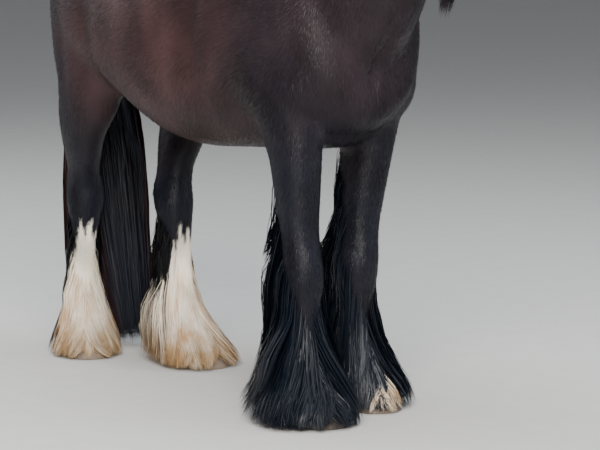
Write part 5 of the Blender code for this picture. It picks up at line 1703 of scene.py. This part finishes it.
@dataclass
class Studio:
    """A plain pale floor, soft light and a camera where the photograph's stood."""

    shift: Vector
    stand: tuple = (-4.019, -5.748, 1.45)
    heading: tuple = (0.559, 0.829)
    pitch: float = math.radians(-7.7)
    lens: float = 162.0
    # How many points each ring of the floor has
    sides: int = 96

    def floor(self) -> bpy.types.Object:
        """The floor, which rises far off into a round wall and isn't part of the horse."""
        bend = np.linspace(0.0, math.pi / 2, 12)
        reach = np.concatenate([[0.01, 22.0], 22.0 + 12.0 * np.sin(bend[1:]), [34.0]])
        rise = np.concatenate([[0.0, 0.0], 12.0 * (1 - np.cos(bend[1:])), [30.0]])
        turn = 2 * math.pi * np.arange(self.sides) / self.sides
        points = np.stack([np.outer(reach, np.cos(turn)), np.outer(reach, np.sin(turn)),
                           np.outer(rise, np.ones(self.sides))], axis=-1).reshape(-1, 3)
        row, column = np.divmod(np.arange((len(reach) - 1) * self.sides), self.sides)
        inner, after = row * self.sides, (column + 1) % self.sides
        outer = inner + self.sides
        faces = np.column_stack([inner + column, outer + column, outer + after, inner + after])
        made = from_arrays("floor", points, faces)
        make = Shader("pale_floor")
        grain = make.noise(make.place(), 14.0, 5.0)
        colour = make.mix(grain, (0.60, 0.585, 0.56), (0.68, 0.665, 0.64))
        make.bump(grain, 0.1, 0.002)
        made.data.materials.append(make.finish(base_color=colour, roughness=0.85))
        return made

    def lights(self) -> None:
        """Soft daylight from above and in front, and a pale sky all round."""
        for name, place, size, power, colour in (
                ("key", (-3.4, -4.9, 4.1), 4.0, 670.0, (1.0, 0.97, 0.93)),
                ("fill", (4.6, -3.6, 3.0), 5.0, 110.0, (0.86, 0.92, 1.0)),
                ("top", (0.0, 0.4, 5.2), 5.0, 240.0, (0.90, 0.95, 1.0)),
                ("back", (-2.0, 5.5, 3.2), 4.5, 120.0, (0.92, 0.95, 1.0))):
            data = bpy.data.lights.new(name, "AREA")
            data.shape, data.size, data.energy, data.color = "DISK", size, power, colour
            lamp = bpy.data.objects.new(name, data)
            lamp.location = place
            lamp.rotation_euler = (Vector((0, 0, 0.7)) - Vector(place)).to_track_quat("-Z", "Y").to_euler()
            bpy.context.scene.collection.objects.link(lamp)
        world = bpy.data.worlds.new("sky")
        world.use_nodes = True
        world.node_tree.nodes["Background"].inputs["Color"].default_value = (0.80, 0.86, 0.95, 1.0)
        world.node_tree.nodes["Background"].inputs["Strength"].default_value = 0.36
        bpy.context.scene.world = world

    def camera(self) -> None:
        """The camera at the photograph's height, side and distance."""
        data = bpy.data.cameras.new("camera")
        data.lens, data.sensor_width = self.lens, 36.0
        made = bpy.data.objects.new("camera", data)
        made.location = Vector(self.stand) + self.shift
        ahead = Vector((self.heading[0] * math.cos(self.pitch), self.heading[1] * math.cos(self.pitch),
                        math.sin(self.pitch)))
        made.rotation_euler = ahead.to_track_quat("-Z", "Y").to_euler()
        bpy.context.scene.collection.objects.link(made)
        bpy.context.scene.camera = made


# The whole horse

@dataclass
class CobHorse:
    """Every piece of the horse, built, dressed and set on the model's one body."""

    shift: Vector
    finishes: dict = field(default_factory=dict)

    def __post_init__(self) -> None:
        """Makes the finishes."""
        # Each black here is the hair's own black with a blue tint that paints the sky's reflected sheen.
        self.finishes = {
            Slot.COAT: HairFinish("dark_coat", (0.0078, 0.0082, 0.0138), roughness=0.45, specular=0.21,
                                  # The coat's strong setting here paints sheen and shade over its muscles.
                                  painted_sheen=0.32).material(),
            Slot.LONG_HAIR: HairFinish("long_hair", (0.0080, 0.0098, 0.0165), (0.045, 0.0200, 0.0190),
                                       roughness=0.40, specular=0.27, bumps=0.05).material(),
            Slot.DARK_FEATHER: HairFinish("dark_feather", (0.0046, 0.0078, 0.0145), (0.016, 0.0130, 0.0170),
                                          roughness=0.40, specular=0.26, bumps=0.05).material(),
            Slot.WHITE_FEATHER: HairFinish("white_feather", roughness=0.50, bumps=0.05).material(),
            Slot.DARK_HORN: HornFinish("dark_horn", (0.050, 0.043, 0.040), (0.085, 0.072, 0.064),
                                       (0.022, 0.019, 0.018)).material(),
            Slot.PALE_HORN: HornFinish("pale_horn", (0.30, 0.22, 0.17), (0.26, 0.20, 0.15),
                                       (0.14, 0.10, 0.07)).material(),
            Slot.EYE: EyeFinish().material(),
        }
        self.marks = Markings(self.shift)

    def dress(self, piece: bpy.types.Object, slot: Slot, nodes: Sequence[str] = (),
              roots: bool = True) -> None:
        """Finishes a piece and sets it on the body.

        Args:
            piece: The piece.
            slot: Its finish.
            nodes: The names of the solids that it stands for.
            roots: Whether its markings come from the roots of its hair.
        """
        if slot not in (Slot.DARK_HORN, Slot.PALE_HORN, Slot.EYE):
            has_root = roots and "root" in piece.data.attributes
            self.marks.paint(piece, marked(piece, "root", vector=True) if has_root else positions(piece))
        piece.data.materials.clear()
        piece.data.materials.append(self.finishes[slot])
        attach(piece, "root")
        if nodes:
            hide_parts(*nodes)
        LOG.info("%s: %d faces", piece.name, len(piece.data.polygons))

    def build(self) -> None:
        """Builds every piece in order."""
        skin = Body().build()
        mane = Mane(skin)
        hair = [mane.mane(side, self.shift) for side in (-1, 1)]
        hair += [mane.forelock(self.shift), mane.beard(self.shift)]
        move_to(skin, positions(skin) + np.array(self.shift))
        skin.data.shade_smooth()
        mark(skin, "tone", np.full(len(skin.data.vertices), 0.5))
        crest = wrapped((spot(0, -0.1, 1.3) + self.shift, spot(0, 0.5, 1.65) + self.shift))
        for piece in hair:
            mapped(piece, crest)
            self.dress(piece, Slot.LONG_HAIR)
        flesh = ["torso", "neck", "head"] + [leg.name + part for leg in LEGS for part in ("_upper", "_lower")]
        self.dress(skin, Slot.COAT, flesh, roots=False)
        for piece in ShortCoat(skin, self.shift).build(self.finishes[Slot.COAT]):
            self.dress(piece, Slot.COAT)
        for leg in LEGS:
            self.foot(leg)
        tail = Tail()
        piece = tail.build(self.shift)
        mapped(piece, wrapped((spot(0, -1.30, 1.30) + self.shift, spot(0, -1.30, 0.80) + self.shift)))
        self.dress(piece, Slot.LONG_HAIR)
        core = tail.core()
        move_to(core, positions(core) + np.array(self.shift))
        core.data.shade_smooth()
        self.dress(core, Slot.COAT, ["tail"], roots=False)
        for side, name in ((-1, "right"), (1, "left")):
            eye, ear = Eye(side), Ear(side)
            self.dress(eye.ball(self.shift), Slot.EYE, ["eye_" + name])
            self.dress(eye.lids(self.shift), Slot.COAT, roots=False)
            for piece in (eye.lashes(self.shift), ear.hair(self.shift)):
                mapped(piece, wrapped((spot(0, 0.6, 1.4) + self.shift, spot(0, 0.4, 1.9) + self.shift)))
                self.dress(piece, Slot.LONG_HAIR)
            self.dress(ear.build(self.shift), Slot.COAT, ["ear_" + name], roots=False)

    def foot(self, leg: Leg) -> None:
        """The feather and the hoof of one leg."""
        clumps = 184 if leg.fore else 172
        hair = Feather(leg, clumps, strands=64, seed=11 + len(leg.name)).build(self.shift)
        across, forward = leg.centre(0.2)
        axis = (spot(across, forward, 0.50) + self.shift, spot(across, forward, 0.0) + self.shift)
        mapped(hair, wrapped(axis))
        self.dress(hair, Slot.DARK_FEATHER if leg.fore else Slot.WHITE_FEATHER)
        horn = Slot.DARK_HORN if leg.name == "fore_right" else Slot.PALE_HORN
        self.dress(Hoof(leg).build(self.shift), horn, [leg.name + "_hoof"])


def frame_shift() -> Vector:
    """How far the model's frame is from the horse's own place, read from its eyes."""
    gaps = []
    for side, name in ((-1, "eye_right"), (1, "eye_left")):
        low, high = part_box(name)
        gaps.append((low + high) / 2 - turned_point(eye_centre(side)))
    shift = (gaps[0] + gaps[1]) / 2
    return Vector((shift.x, shift.y, 0.0))


def main() -> None:
    """Loads the frame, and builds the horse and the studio."""
    logging.basicConfig(level=logging.INFO, format="%(message)s")
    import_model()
    shift = frame_shift()
    studio = Studio(shift)
    studio.camera()
    CobHorse(shift).build()
    studio.floor()
    studio.lights()


if __name__ == "__main__":
    main()
